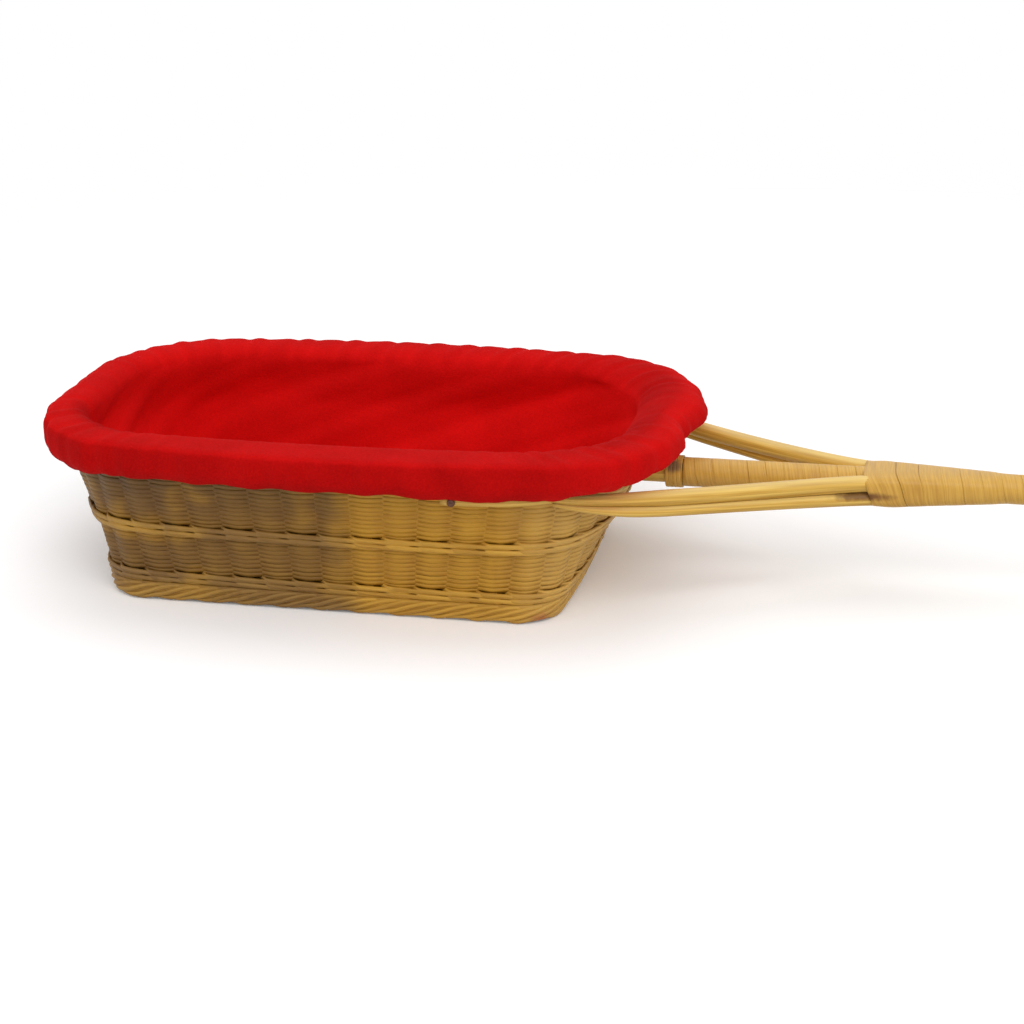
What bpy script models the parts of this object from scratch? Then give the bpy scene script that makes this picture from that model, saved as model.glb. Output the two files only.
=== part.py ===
"""Collection basket: a wicker basket on a long cane-wrapped handle, with a lift-out cloth liner.

Metres, +Z up. The origin is the centre of the basket's flat underside, +X runs along the
handle and +Y to the basket's far side. Each named object is one physical piece.
"""

import math

import bmesh
import bpy
import numpy as np
from mathutils import Vector

# Fit between pieces that touch
GAP = 0.0003

# Basket outline over the stakes, at the underside and at the top of the wall
FOOT_LENGTH = 0.2470
FOOT_WIDTH = 0.1608
FOOT_CORNER = 0.0190
FOOT_END_BOW = 0.0024
FOOT_LEAN = 0.0010
TOP_LENGTH = 0.3256
TOP_WIDTH = 0.1942
TOP_CORNER = 0.0620
SIDE_BOW = 0.0095
END_BOW = 0.0120
TOP_LEAN = 0.0028

# Heights of the bands that make up the wall, from the bottom
FOOT_HEIGHT = 0.0108
WALE_HEIGHT = 0.0065
LOWER_WEAVE_HEIGHT = 0.0222
UPPER_WEAVE_HEIGHT = 0.0314

# Stakes and the weave around them
STAKES_PER_QUARTER = 12
CROSS_STAKES_PER_QUARTER = 6
LONG_STAKES_PER_QUARTER = 3
STAKE_WIDTH = 0.0044
STAKE_THICKNESS = 0.0022
STAKE_PROUD = 0.0007
WEAVE_THICKNESS = 0.0039
STRAND_THICKNESS = 0.0021

# Base mat and the levels of the stakes that run through it
MAT_THICKNESS = 0.0075
CROSS_STAKE_LEVEL = 0.0045
LONG_STAKE_LEVEL = 0.0009

# Rolled border on top of the wall
BORDER_RADIUS = 0.0055

# Pole, its tenon in the end wall and its wraps
POLE_RADIUS = 0.0063
POLE_HEIGHT = 0.0600
POLE_END = 0.8000
POLE_END_ROUND = 0.0030
TENON_RADIUS = 0.0045
TENON_STANDOUT = 0.0006
WRAP_THICKNESS = 0.0013
BINDING_THICKNESS = 0.0022
BINDING_WIDTH = 0.0090
WALL_BINDING_SETBACK = 0.0166
END_BINDING_SETBACK = 0.0060

# Side arms: an upper and a lower rod on each side, scarfed thin on the wall and beside the pole
UPPER_ROD_RADIUS = 0.0045
UPPER_ROD_WALL_RADIUS = 0.0026
SWELL_SHARE = 0.35
LOWER_ROD_RADIUS = 0.00275
ARM_TACK_STAKE_SPACE = 4
ARM_END_STANDOUT = 0.0060
ARM_LEAVE_TURN = math.radians(30.0)
ARM_LEAVE_PULL = 0.55
ARM_JOIN_PULL = 0.35
ARM_DROP_POWER = 3
ARM_TILT = math.radians(50.0)
JUNCTION = 0.2850
SCARF_LENGTH = 0.0600
UPPER_SCARF_RADIUS = 0.0012
LOWER_SCARF_RADIUS = 0.0009
WRAP_LEAD = 0.0040
WRAP_MOUTH = 0.0030
WRAP_BLEND = 0.0070
BUNDLE_EASE = 0.0012
BUNDLE_SQUARENESS = 4.0
SCARF_SQUARENESS = 2.5

# Tacks that hold the upper rods to the wall
TACK_HEAD_RADIUS = 0.0022
TACK_CROWN_RADIUS = 0.0013
TACK_HEAD_THICKNESS = 0.0010
TACK_SHANK_RADIUS = 0.0007
TACK_GRIP = 0.0030

# Cloth liner
CLOTH = 0.0020
LINER_EASE = 0.0016
BORDER_EASE = 0.0005
ROLL_HALF_WIDTH = 0.0117
ROLL_HALF_HEIGHT = 0.0108
ROLL_OUTSET = 0.0021
HANDLE_END_OUTSET = 0.0120
ROLL_RAISE = 0.0006
HEM_ANGLE = math.radians(-62.0)
BAG_SHOULDER_DROP = 0.0200
ELASTIC_WIDTH = 0.0044
ELASTIC_THICKNESS = 0.0008
ELASTIC_RAISE = 0.0018

# Facets, and steps along the curves
LINER_COLUMNS = 48
BORDER_SIDES = 8
BORDER_WRAP_STEPS = 5
ROD_SIDES = 8
POLE_SIDES = 14
WRAP_SIDES = 24
ROLL_STEPS = 8
OUTLINE_STEPS = 40
WALL_RUN_STEPS = 7
FREE_RUN_STEPS = 9
LEAVE_SEARCH_STEPS = 200

# Shares of the way round the basket, from the middle of the near side
HANDLE_END = 0.25
TANGENT_STEP = 0.002

# Faces that meet at more than this angle keep a sharp edge
SHARP_EDGE = math.radians(35.0)

# Places worked out from the sizes above
UPSET_WALE_Z = FOOT_HEIGHT + GAP
LOWER_WEAVE_Z = UPSET_WALE_Z + WALE_HEIGHT + GAP
MIDDLE_WALE_Z = LOWER_WEAVE_Z + LOWER_WEAVE_HEIGHT + GAP
UPPER_WEAVE_Z = MIDDLE_WALE_Z + WALE_HEIGHT + GAP
WALL_TOP = UPPER_WEAVE_Z + UPPER_WEAVE_HEIGHT
STAKE_COUNT = 4 * STAKES_PER_QUARTER
WEAVE_FACE = -STAKE_PROUD
WEAVE_BACK = WEAVE_FACE - WEAVE_THICKNESS
NOTCH_FLOOR = -STAKE_THICKNESS - GAP
BORDER_OFFSET = (WEAVE_FACE + WEAVE_BACK) / 2
BORDER_Z = WALL_TOP + GAP + BORDER_RADIUS
ROLL_OFFSET = BORDER_OFFSET + ROLL_OUTSET
ROLL_Z = BORDER_Z + ROLL_RAISE
HEM_Z = ROLL_Z + ROLL_HALF_HEIGHT * math.sin(HEM_ANGLE)
HEM_FACE = BORDER_OFFSET + BORDER_RADIUS + BORDER_EASE
BAG_FACE = WEAVE_BACK - LINER_EASE
BAG_Z = MAT_THICKNESS + GAP
UPPER_ROD_Z = HEM_Z - GAP - UPPER_ROD_WALL_RADIUS
ROD_SPACING = UPPER_ROD_RADIUS + GAP + LOWER_ROD_RADIUS
SCARF_SPACING = UPPER_SCARF_RADIUS + GAP + LOWER_SCARF_RADIUS
WRAP_BORE = POLE_RADIUS + GAP
WRAP_START = JUNCTION - WRAP_LEAD
SCARF_END = JUNCTION + SCARF_LENGTH
END_BINDING_X = POLE_END - END_BINDING_SETBACK - BINDING_WIDTH

# Surface colours, roughness
CANE = ((0.42, 0.24, 0.07), 0.55)
CANE_DARK = ((0.20, 0.11, 0.04), 0.60)
CANE_LIGHT = ((0.60, 0.38, 0.13), 0.50)
FELT = ((0.46, 0.005, 0.008), 0.95)
ELASTIC = ((0.75, 0.72, 0.68), 0.85)
IRON = ((0.08, 0.05, 0.04), 0.50)
IRON_METALLIC = 0.8


class Outline:
    """A rounded rectangle with gently bowed sides, read by the share of the way round it.

    Share 0 is the middle of the near side, 0.25 the middle of the handle end.
    """

    def __init__(self, length, width, corner, side_bow, end_bow, lean):
        half_x = length / 2
        half_y = width / 2
        quarter = self.quarter_points(half_x, half_y, corner)
        bowed = []
        for x, y in quarter:
            bowed_x = x * (1 - end_bow / half_x * (y / half_y) ** 2)
            bowed_y = y * (1 - side_bow / half_y * (x / half_x) ** 2)
            bowed.append((bowed_x, bowed_y))
        far = [(x, -y) for x, y in reversed(bowed)]
        right = bowed + far[1:]
        left = [(-x, y) for x, y in reversed(right)]
        points = np.array(right + left[1:])
        steps = np.linalg.norm(np.diff(points, axis=0), axis=1)
        self.length = float(steps.sum())
        self.shares = np.concatenate([[0.0], np.cumsum(steps)]) / self.length
        self.points = points + np.array([lean, 0.0])

    @staticmethod
    def quarter_points(half_x, half_y, corner):
        """Points from the middle of the near side to the middle of the handle end."""
        points = [(x, -half_y) for x in np.linspace(0.0, half_x - corner, OUTLINE_STEPS)]
        for angle in np.linspace(-math.pi / 2, 0.0, OUTLINE_STEPS)[1:]:
            x = half_x - corner + corner * math.cos(angle)
            y = -(half_y - corner) + corner * math.sin(angle)
            points.append((x, y))
        points += [(half_x, y) for y in np.linspace(-(half_y - corner), 0.0, OUTLINE_STEPS)[1:]]
        return points

    def at(self, share):
        """The point at a share of the way round."""
        wrapped = share % 1.0
        x = np.interp(wrapped, self.shares, self.points[:, 0])
        y = np.interp(wrapped, self.shares, self.points[:, 1])
        return np.array([x, y])


FOOT = Outline(FOOT_LENGTH, FOOT_WIDTH, FOOT_CORNER, 0.0, FOOT_END_BOW, FOOT_LEAN)
TOP = Outline(TOP_LENGTH, TOP_WIDTH, TOP_CORNER, SIDE_BOW, END_BOW, TOP_LEAN)


def wall_point(share, level):
    """A point of the stakes' outer face at a height, straight between the foot and the top."""
    blend = min(level / WALL_TOP, 1.0)
    return FOOT.at(share) * (1 - blend) + TOP.at(share) * blend


def wall_tangent(share, level):
    """Unit direction along the wall, anticlockwise from above."""
    step = wall_point(share + TANGENT_STEP, level) - wall_point(share - TANGENT_STEP, level)
    return step / np.linalg.norm(step)


def wall_normal(share, level):
    """Unit direction out of the wall, level with the ground."""
    tangent = wall_tangent(share, level)
    return np.array([tangent[1], -tangent[0]])


def place(share, level, offset, z, along=0.0):
    """A point off the wall as it is at one level, set at height z and moved along the wall."""
    point = wall_point(share, level)
    point = point + wall_normal(share, level) * offset + wall_tangent(share, level) * along
    return (point[0], point[1], z)


def material(name, look, metallic=0.0):
    """A plain surface of one colour."""
    colour, roughness = look
    surface = bpy.data.materials.new(name)
    surface.use_nodes = True
    shader = surface.node_tree.nodes["Principled BSDF"]
    shader.inputs["Base Color"].default_value = (*colour, 1.0)
    shader.inputs["Roughness"].default_value = roughness
    shader.inputs["Metallic"].default_value = metallic
    return surface


def add_piece(name, verts, faces, look, metallic=0.0):
    """Make one closed piece from its points and faces."""
    mesh = bpy.data.meshes.new(name)
    mesh.from_pydata([tuple(v) for v in verts], [], faces)
    work = bmesh.new()
    work.from_mesh(mesh)
    bmesh.ops.recalc_face_normals(work, faces=work.faces)
    work.to_mesh(mesh)
    work.free()
    mesh.shade_smooth()
    mesh.set_sharp_from_angle(angle=SHARP_EDGE)
    mesh.materials.append(material(name, look, metallic))
    piece = bpy.data.objects.new(name, mesh)
    bpy.context.scene.collection.objects.link(piece)
    return piece


def bridge(rings, closed_path):
    """Triangles between successive rings of points, because their quads aren't quite flat."""
    count = len(rings[0])
    faces = []
    spans = len(rings) if closed_path else len(rings) - 1
    for i in range(spans):
        here = i * count
        there = ((i + 1) % len(rings)) * count
        for k in range(count):
            nxt = (k + 1) % count
            faces.append((here + k, here + nxt, there + nxt))
            faces.append((here + k, there + nxt, there + k))
    return faces


def closed_ring(name, shares, section, look):
    """A ring round the basket: the same closed section at each share."""
    return shaped_ring(name, shares, [section] * len(shares), look)


def shaped_ring(name, shares, sections, look):
    """A ring round the basket with a closed section of its own at each share."""
    rings = []
    for share, section in zip(shares, sections):
        rings.append([place(share, level, offset, z) for level, offset, z in section])
    verts = [point for ring in rings for point in ring]
    return add_piece(name, verts, bridge(rings, True), look)


def capped_loft(name, rings, look, metallic=0.0):
    """A solid through successive rings of points, closed by a flat face at each end."""
    count = len(rings[0])
    verts = [point for ring in rings for point in ring]
    faces = bridge(rings, False)
    faces.append(tuple(reversed(range(count))))
    last = (len(rings) - 1) * count
    faces.append(tuple(range(last, last + count)))
    return add_piece(name, verts, faces, look, metallic)


def cut(piece, cutter):
    """Cut one closed shape out of a piece."""
    cutter.hide_render = True
    cutter.display_type = "WIRE"
    step = piece.modifiers.new("cut_" + cutter.name, "BOOLEAN")
    step.operation = "DIFFERENCE"
    step.solver = "EXACT"
    step.object = cutter


def stake_share(index):
    """Where a stake stands, as a share of the way round from the middle of the near side."""
    return (index + 0.5) / STAKE_COUNT


STAKE_EDGE = (STAKE_WIDTH / 2 + GAP) / FOOT.length
STAKE_EDGES = [
    stake_share(i) + side * STAKE_EDGE for i in range(STAKE_COUNT) for side in (-1, 1)
]


def strand_section(base, height, face, back):
    """A band's section at one height range, between two distances off the wall."""
    return [
        (base, face, base),
        (base + height, face, base + height),
        (base + height, back, base + height),
        (base, back, base),
    ]


def foot_border():
    """The plaited foot, outside the stakes at the very bottom."""
    section = strand_section(0.0, FOOT_HEIGHT, GAP + STRAND_THICKNESS, GAP)
    closed_ring("foot_border", STAKE_EDGES, section, CANE_DARK)


def wale(name, base):
    """One band of waling rods: a strand outside the stakes and a strand inside them."""
    outer = strand_section(base, WALE_HEIGHT, GAP + STRAND_THICKNESS, GAP)
    closed_ring(name + "_outer", STAKE_EDGES, outer, CANE_LIGHT)
    inner = strand_section(base, WALE_HEIGHT, NOTCH_FLOOR, NOTCH_FLOOR - STRAND_THICKNESS)
    closed_ring(name + "_inner", STAKE_EDGES, inner, CANE)


def weave(name, base, height):
    """One block of wall weaving, with an upright channel in its face for each stake."""
    levels = (base, base + height)
    offsets = (WEAVE_FACE, NOTCH_FLOOR, WEAVE_BACK)
    verts = []
    for share in STAKE_EDGES:
        for level in levels:
            verts += [place(share, level, offset, level) for offset in offsets]
    columns = len(STAKE_EDGES)
    face, floor, back = range(3)

    def corner(column, level, offset):
        return ((column % columns) * len(levels) + level) * len(offsets) + offset

    faces = []
    for column in range(columns):
        over_stake = column % 2 == 0
        front = floor if over_stake else face
        for outside in (front, back):
            quad = [corner(column, 0, outside), corner(column + 1, 0, outside)]
            quad += [corner(column + 1, 1, outside), corner(column, 1, outside)]
            faces.append(quad)
        side = [corner(column, 0, face), corner(column, 0, floor)]
        side += [corner(column, 1, floor), corner(column, 1, face)]
        faces.append(side)
        bands = ((floor, back),) if over_stake else ((face, floor), (floor, back))
        for level in (0, 1):
            for near, far in bands:
                quad = [corner(column, level, near), corner(column + 1, level, near)]
                quad += [corner(column + 1, level, far), corner(column, level, far)]
                faces.append(quad)
    return add_piece(name, verts, faces, CANE)


def stake_section(share, outer_z, inner_z):
    """Four corners of a stake: outer face at one height, inner face at another."""
    half = STAKE_WIDTH / 2
    return [
        place(share, outer_z, 0.0, outer_z, -half),
        place(share, outer_z, 0.0, outer_z, half),
        place(share, inner_z, -STAKE_THICKNESS, inner_z, half),
        place(share, inner_z, -STAKE_THICKNESS, inner_z, -half),
    ]


def stake_run(share):
    """A stake's sections down the wall, one at each band, because its face turns as it goes."""
    levels = (WALL_TOP, UPPER_WEAVE_Z, MIDDLE_WALE_Z, LOWER_WEAVE_Z, UPSET_WALE_Z)
    return [stake_section(share, level, level) for level in levels]


def through_stake(name, share, far_share, level):
    """A stake up one wall, kinked across the base mat and up the opposite wall."""
    upper = level + STAKE_THICKNESS
    near = stake_run(share) + [stake_section(share, level, upper)]
    far = stake_run(far_share) + [stake_section(far_share, level, upper)]
    mirrored = [[ring[1], ring[0], ring[3], ring[2]] for ring in reversed(far)]
    capped_loft(name, near + mirrored, CANE_LIGHT)


def corner_stake(name, share):
    """A stake at a rounded corner, pushed down between the foot and the mat."""
    foot = LONG_STAKE_LEVEL
    rings = stake_run(share) + [stake_section(share, foot, foot)]
    capped_loft(name, rings, CANE_LIGHT)


def cross_indices():
    """Stakes of the near side that run on across the base."""
    return range(-CROSS_STAKES_PER_QUARTER, CROSS_STAKES_PER_QUARTER)


def long_indices():
    """Stakes of the handle end that run on along the base."""
    middle = STAKES_PER_QUARTER
    return range(middle - LONG_STAKES_PER_QUARTER, middle + LONG_STAKES_PER_QUARTER)


def corner_indices():
    """Stakes of the four rounded corners."""
    first = CROSS_STAKES_PER_QUARTER
    last = STAKES_PER_QUARTER - LONG_STAKES_PER_QUARTER
    quarter = list(range(first, last))
    half = quarter + [2 * STAKES_PER_QUARTER - 1 - i for i in reversed(quarter)]
    return half + [STAKE_COUNT - 1 - i for i in reversed(half)]


def stakes():
    """All the stakes: through the base both ways, and singly at the corners."""
    for number, index in enumerate(cross_indices(), 1):
        share = stake_share(index)
        through_stake(f"cross_stake_{number:02d}", share, 0.5 - share, CROSS_STAKE_LEVEL)
    for number, index in enumerate(long_indices(), 1):
        share = stake_share(index)
        through_stake(f"long_stake_{number}", share, 1.0 - share, LONG_STAKE_LEVEL)
    for number, index in enumerate(corner_indices(), 1):
        corner_stake(f"corner_stake_{number:02d}", stake_share(index))


def box_cutter(name, low, high):
    """A box between two corners, used to cut a channel."""
    xs, ys, zs = zip(low, high)
    lower = [(xs[0], ys[0], zs[0]), (xs[1], ys[0], zs[0]), (xs[1], ys[1], zs[0]), (xs[0], ys[1], zs[0])]
    upper = [(x, y, zs[1]) for x, y, _ in lower]
    return capped_loft(name, [lower, upper], CANE)


def base_mat():
    """The woven base, with channels for the stakes that cross it above and below."""
    shares = [(i + 0.5) / (2 * STAKE_COUNT) for i in range(2 * STAKE_COUNT)]
    rings = []
    for level in (0.0, MAT_THICKNESS):
        rings.append([place(share, level, NOTCH_FLOOR, level) for share in shares])
    mat = capped_loft("base_mat", rings, CANE_DARK)
    for index in cross_indices():
        xs = channel_span(stake_share(index), CROSS_STAKE_LEVEL, 0)
        low = (xs[0], -FOOT_WIDTH, CROSS_STAKE_LEVEL - GAP)
        high = (xs[1], FOOT_WIDTH, MAT_THICKNESS + BAG_Z)
        cut(mat, box_cutter(f"cross_channel_{index}", low, high))
    for index in long_indices():
        ys = channel_span(stake_share(index), LONG_STAKE_LEVEL, 1)
        low = (-FOOT_LENGTH, ys[0], -MAT_THICKNESS)
        high = (FOOT_LENGTH, ys[1], LONG_STAKE_LEVEL + STAKE_THICKNESS + GAP)
        cut(mat, box_cutter(f"long_channel_{index}", low, high))


def channel_span(share, level, axis):
    """The range across a stake's channel in the mat, along X (0) or Y (1)."""
    places = [corner[axis] for corner in stake_section(share, level, level + STAKE_THICKNESS)]
    return min(places) - GAP, max(places) + GAP


def circle_section(offset, z, radius, sides):
    """A round section off the top of the wall, as level, offset and height."""
    section = []
    for k in range(sides):
        angle = 2 * math.pi * k / sides
        section.append((WALL_TOP, offset + radius * math.cos(angle), z + radius * math.sin(angle)))
    return section


def liner_shares():
    """Columns of the border and the liner."""
    return [i / LINER_COLUMNS for i in range(LINER_COLUMNS)]


def rim_border():
    """The rolled border on top of the wall."""
    section = circle_section(BORDER_OFFSET, BORDER_Z, BORDER_RADIUS, BORDER_SIDES)
    closed_ring("rim_border", liner_shares(), section, CANE_DARK)


def cylinder_x(name, x0, x1, z, radius, sides, look):
    """A round bar along X, in the middle of the basket's width."""
    rings = []
    for x in (x0, x1):
        rings.append(round_ring(x, z, radius, sides))
    return capped_loft(name, rings, look)


def round_ring(x, z, radius, sides):
    """A circle of points across the pole's line."""
    angles = [2 * math.pi * k / sides for k in range(sides)]
    return [(x, radius * math.cos(a), z + radius * math.sin(a)) for a in angles]


def end_wall_x(z, offset):
    """Where the handle end's wall stands at a height, in the middle of its width."""
    return place(HANDLE_END, z, offset, z)[0]


def leaning_ring(offset, radius):
    """A ring of the pole's section that lies parallel to the leaning end wall."""
    ring = round_ring(0.0, POLE_HEIGHT, radius, POLE_SIDES)
    return [(end_wall_x(z, offset), y, z) for _, y, z in ring]


def handle_pole():
    """The pole: a tenon through the end wall, a leaning shoulder and a rounded far end."""
    rings = [
        leaning_ring(WEAVE_BACK - TENON_STANDOUT, TENON_RADIUS),
        leaning_ring(GAP, TENON_RADIUS),
        leaning_ring(GAP, POLE_RADIUS),
        round_ring(POLE_END - POLE_END_ROUND, POLE_HEIGHT, POLE_RADIUS, POLE_SIDES),
        round_ring(POLE_END, POLE_HEIGHT, POLE_RADIUS - POLE_END_ROUND, POLE_SIDES),
    ]
    capped_loft("handle_pole", rings, CANE_LIGHT)


def sleeve(name, stations, look):
    """A tube with an open bore: at each x an outer ring of points and an inner one."""
    outers = [outer for outer, _ in stations]
    inners = [inner for _, inner in stations]
    rings = outers + list(reversed(inners))
    verts = [point for ring in rings for point in ring]
    return add_piece(name, verts, bridge(rings, True), look)


def round_station(x, outer_radius):
    """A sleeve's two rings where it lies round the bare pole."""
    outer = round_ring(x, POLE_HEIGHT, outer_radius, WRAP_SIDES)
    inner = round_ring(x, POLE_HEIGHT, WRAP_BORE, WRAP_SIDES)
    return outer, inner


def squared_ring(x, half_width, half_height, squareness):
    """A flattened, squared-off round of points across the pole's line."""
    ring = []
    for k in range(WRAP_SIDES):
        angle = 2 * math.pi * k / WRAP_SIDES
        c, s = math.cos(angle), math.sin(angle)
        y = math.copysign(abs(c) ** (2 / squareness), c) * half_width
        z = math.copysign(abs(s) ** (2 / squareness), s) * half_height
        ring.append((x, y, POLE_HEIGHT + z))
    return ring


def bundle_station(x, upper_radius, spacing, squareness, widening=0.0):
    """A sleeve's two rings where it also holds the side rods."""
    half_width = WRAP_BORE + 2 * upper_radius + BUNDLE_EASE + widening
    half_height = max(arm_half_height(upper_radius, spacing), WRAP_BORE) + BUNDLE_EASE
    inner = squared_ring(x, half_width, half_height, squareness)
    outer = squared_ring(x, half_width + WRAP_THICKNESS, half_height + WRAP_THICKNESS, squareness)
    return outer, inner


def arm_half_height(upper_radius, spacing):
    """Half the height of an upper and a lower rod, one on the other."""
    return (upper_radius + spacing + (spacing - GAP - upper_radius)) / 2


def wraps():
    """Cane wound on the middle arm and the grip, and the bindings that finish it."""
    wrap_radius = WRAP_BORE + WRAP_THICKNESS
    binding_radius = WRAP_BORE + BINDING_THICKNESS
    wall_binding_x = end_wall_x(POLE_HEIGHT, 0.0) + WALL_BINDING_SETBACK
    arm_wrap_x = wall_binding_x + BINDING_WIDTH + GAP
    arm_wrap_end = WRAP_START - GAP
    spans = (
        ("wall_binding", wall_binding_x, wall_binding_x + BINDING_WIDTH, binding_radius, CANE_DARK),
        ("middle_arm_wrap", arm_wrap_x, arm_wrap_end, wrap_radius, CANE_LIGHT),
        ("end_binding", END_BINDING_X, END_BINDING_X + BINDING_WIDTH, binding_radius, CANE_DARK),
    )
    for name, start, end, radius, look in spans:
        sleeve(name, [round_station(start, radius), round_station(end, radius)], look)
    stations = [
        bundle_station(WRAP_START, UPPER_ROD_RADIUS, ROD_SPACING, BUNDLE_SQUARENESS, WRAP_MOUTH),
        bundle_station(JUNCTION, UPPER_ROD_RADIUS, ROD_SPACING, BUNDLE_SQUARENESS),
        bundle_station(SCARF_END, UPPER_SCARF_RADIUS, SCARF_SPACING, SCARF_SQUARENESS),
        round_station(SCARF_END + WRAP_BLEND, wrap_radius),
        round_station(END_BINDING_X - GAP, wrap_radius),
    ]
    sleeve("handle_wrap", stations, CANE_LIGHT)


def wall_slope(share):
    """How far the wall leans out for each metre of height."""
    lean = TOP.at(share) - FOOT.at(share)
    return float(np.dot(lean, wall_normal(share, UPPER_ROD_Z))) / WALL_TOP


def rod_offset(share):
    """How far the upper rod's centre lies off the leaning wall that it rests on."""
    return (UPPER_ROD_WALL_RADIUS + GAP) * math.sqrt(1 + wall_slope(share) ** 2)


def leave_share():
    """Where an arm leaves the near wall: the wall has turned by the arm's leaving turn."""
    for share in np.linspace(0.0, HANDLE_END, LEAVE_SEARCH_STEPS):
        tangent = wall_tangent(share, UPPER_ROD_Z)
        if math.atan2(tangent[1], tangent[0]) >= ARM_LEAVE_TURN:
            return float(share)
    return HANDLE_END


def tack_share():
    """Where the near arm's tack goes: in the middle of a space between two stakes."""
    return ARM_TACK_STAKE_SPACE / STAKE_COUNT


def wall_run():
    """The upper rod's centres along the near wall, from its end to where it leaves."""
    start = tack_share() - ARM_END_STANDOUT / TOP.length
    points = []
    for share in np.linspace(start, leave_share(), WALL_RUN_STEPS):
        points.append(place(share, UPPER_ROD_Z, rod_offset(share), UPPER_ROD_Z))
    return points


def free_steps():
    """How far along the free run each ring of a rod stands, from 0 to 1."""
    return np.linspace(0.0, 1.0, FREE_RUN_STEPS)


def free_run(start, end_z):
    """The upper rod's centres from the wall to the junction: nearly straight, then along the pole."""
    tangent = wall_tangent(leave_share(), UPPER_ROD_Z)
    end = np.array([JUNCTION, -(WRAP_BORE + UPPER_ROD_RADIUS)])
    begin = np.array(start[:2])
    reach = np.linalg.norm(end - begin)
    leaving = ARM_LEAVE_PULL * reach * tangent
    joining = ARM_JOIN_PULL * reach * np.array([1.0, 0.0])
    points = []
    for t in free_steps():
        xy = (2 * t ** 3 - 3 * t ** 2 + 1) * begin + (t ** 3 - 2 * t ** 2 + t) * leaving
        xy = xy + (3 * t ** 2 - 2 * t ** 3) * end + (t ** 3 - t ** 2) * joining
        z = end_z + (UPPER_ROD_Z - end_z) * (1 - t) ** ARM_DROP_POWER
        points.append((xy[0], xy[1], z))
    return points


def free_radii():
    """The upper rod's radii on its free run: it swells from its thin end on the wall."""
    swell = np.minimum(free_steps() / SWELL_SHARE, 1.0)
    return list(UPPER_ROD_WALL_RADIUS + (UPPER_ROD_RADIUS - UPPER_ROD_WALL_RADIUS) * swell)


def lower_run(upper, radii):
    """The lower rod's centres: outside and below the upper rod, and straight below it at the junction."""
    points = []
    for t, (x, y, z), radius in zip(free_steps(), upper, radii):
        tilt = ARM_TILT * (1 - t)
        spacing = radius + GAP + LOWER_ROD_RADIUS
        points.append((x, y - spacing * math.sin(tilt), z - spacing * math.cos(tilt)))
    return points


def rod_tube(name, centres, radii, side, look):
    """A round rod through its centres; side -1 is the near arm and 1 the far one."""
    path = [Vector((x, -side * y, z)) for x, y, z in centres]
    rings = []
    for i, centre in enumerate(path):
        before = path[max(i - 1, 0)]
        after = path[min(i + 1, len(path) - 1)]
        along = (after - before).normalized()
        across = along.cross(Vector((0.0, 0.0, 1.0))).normalized()
        upward = across.cross(along)
        ring = []
        for k in range(ROD_SIDES):
            angle = 2 * math.pi * (k + 0.5) / ROD_SIDES
            ring.append(centre + (across * math.cos(angle) + upward * math.sin(angle)) * radii[i])
        rings.append(ring)
    return capped_loft(name, rings, look)


def arm(side, label):
    """One side arm: an upper rod from the wall's side and a lower rod from the corner."""
    half_height = arm_half_height(UPPER_ROD_RADIUS, ROD_SPACING)
    upper_z = POLE_HEIGHT + half_height - UPPER_ROD_RADIUS
    scarf_half_height = arm_half_height(UPPER_SCARF_RADIUS, SCARF_SPACING)
    upper_end_z = POLE_HEIGHT + scarf_half_height - UPPER_SCARF_RADIUS
    lower_end_z = upper_end_z - SCARF_SPACING

    on_wall = wall_run()
    free = free_run(on_wall[-1], upper_z)
    radii = free_radii()
    upper = on_wall[:-1] + free
    upper.append((SCARF_END, -(WRAP_BORE + UPPER_SCARF_RADIUS), upper_end_z))
    upper_radii = [UPPER_ROD_WALL_RADIUS] * len(on_wall[:-1]) + radii + [UPPER_SCARF_RADIUS]
    upper_rod = rod_tube(f"{label}_arm_upper_rod", upper, upper_radii, side, CANE_LIGHT)

    lower = lower_run(free, radii)
    lower.append((SCARF_END, -(WRAP_BORE + UPPER_SCARF_RADIUS), lower_end_z))
    lower_radii = [LOWER_ROD_RADIUS] * (len(lower) - 1) + [LOWER_SCARF_RADIUS]
    rod_tube(f"{label}_arm_lower_rod", lower, lower_radii, side, CANE_LIGHT)
    return upper_rod


def tack_frame(side):
    """A tack's point on the wall's face and its outward direction."""
    share = tack_share()
    x, y, z = place(share, UPPER_ROD_Z, 0.0, UPPER_ROD_Z)
    out = wall_normal(share, UPPER_ROD_Z)
    return Vector((x, -side * y, z)), Vector((out[0], -side * out[1], 0.0))


def turned_bar(name, base, out, profile, look, metallic=0.0):
    """A turned piece: radii at distances along a level direction."""
    across = out.cross(Vector((0.0, 0.0, 1.0))).normalized()
    upward = Vector((0.0, 0.0, 1.0))
    rings = []
    for distance, radius in profile:
        centre = base + out * distance
        ring = []
        for k in range(ROD_SIDES):
            angle = 2 * math.pi * k / ROD_SIDES
            ring.append(centre + (across * math.cos(angle) + upward * math.sin(angle)) * radius)
        rings.append(ring)
    return capped_loft(name, rings, look, metallic)


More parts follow.
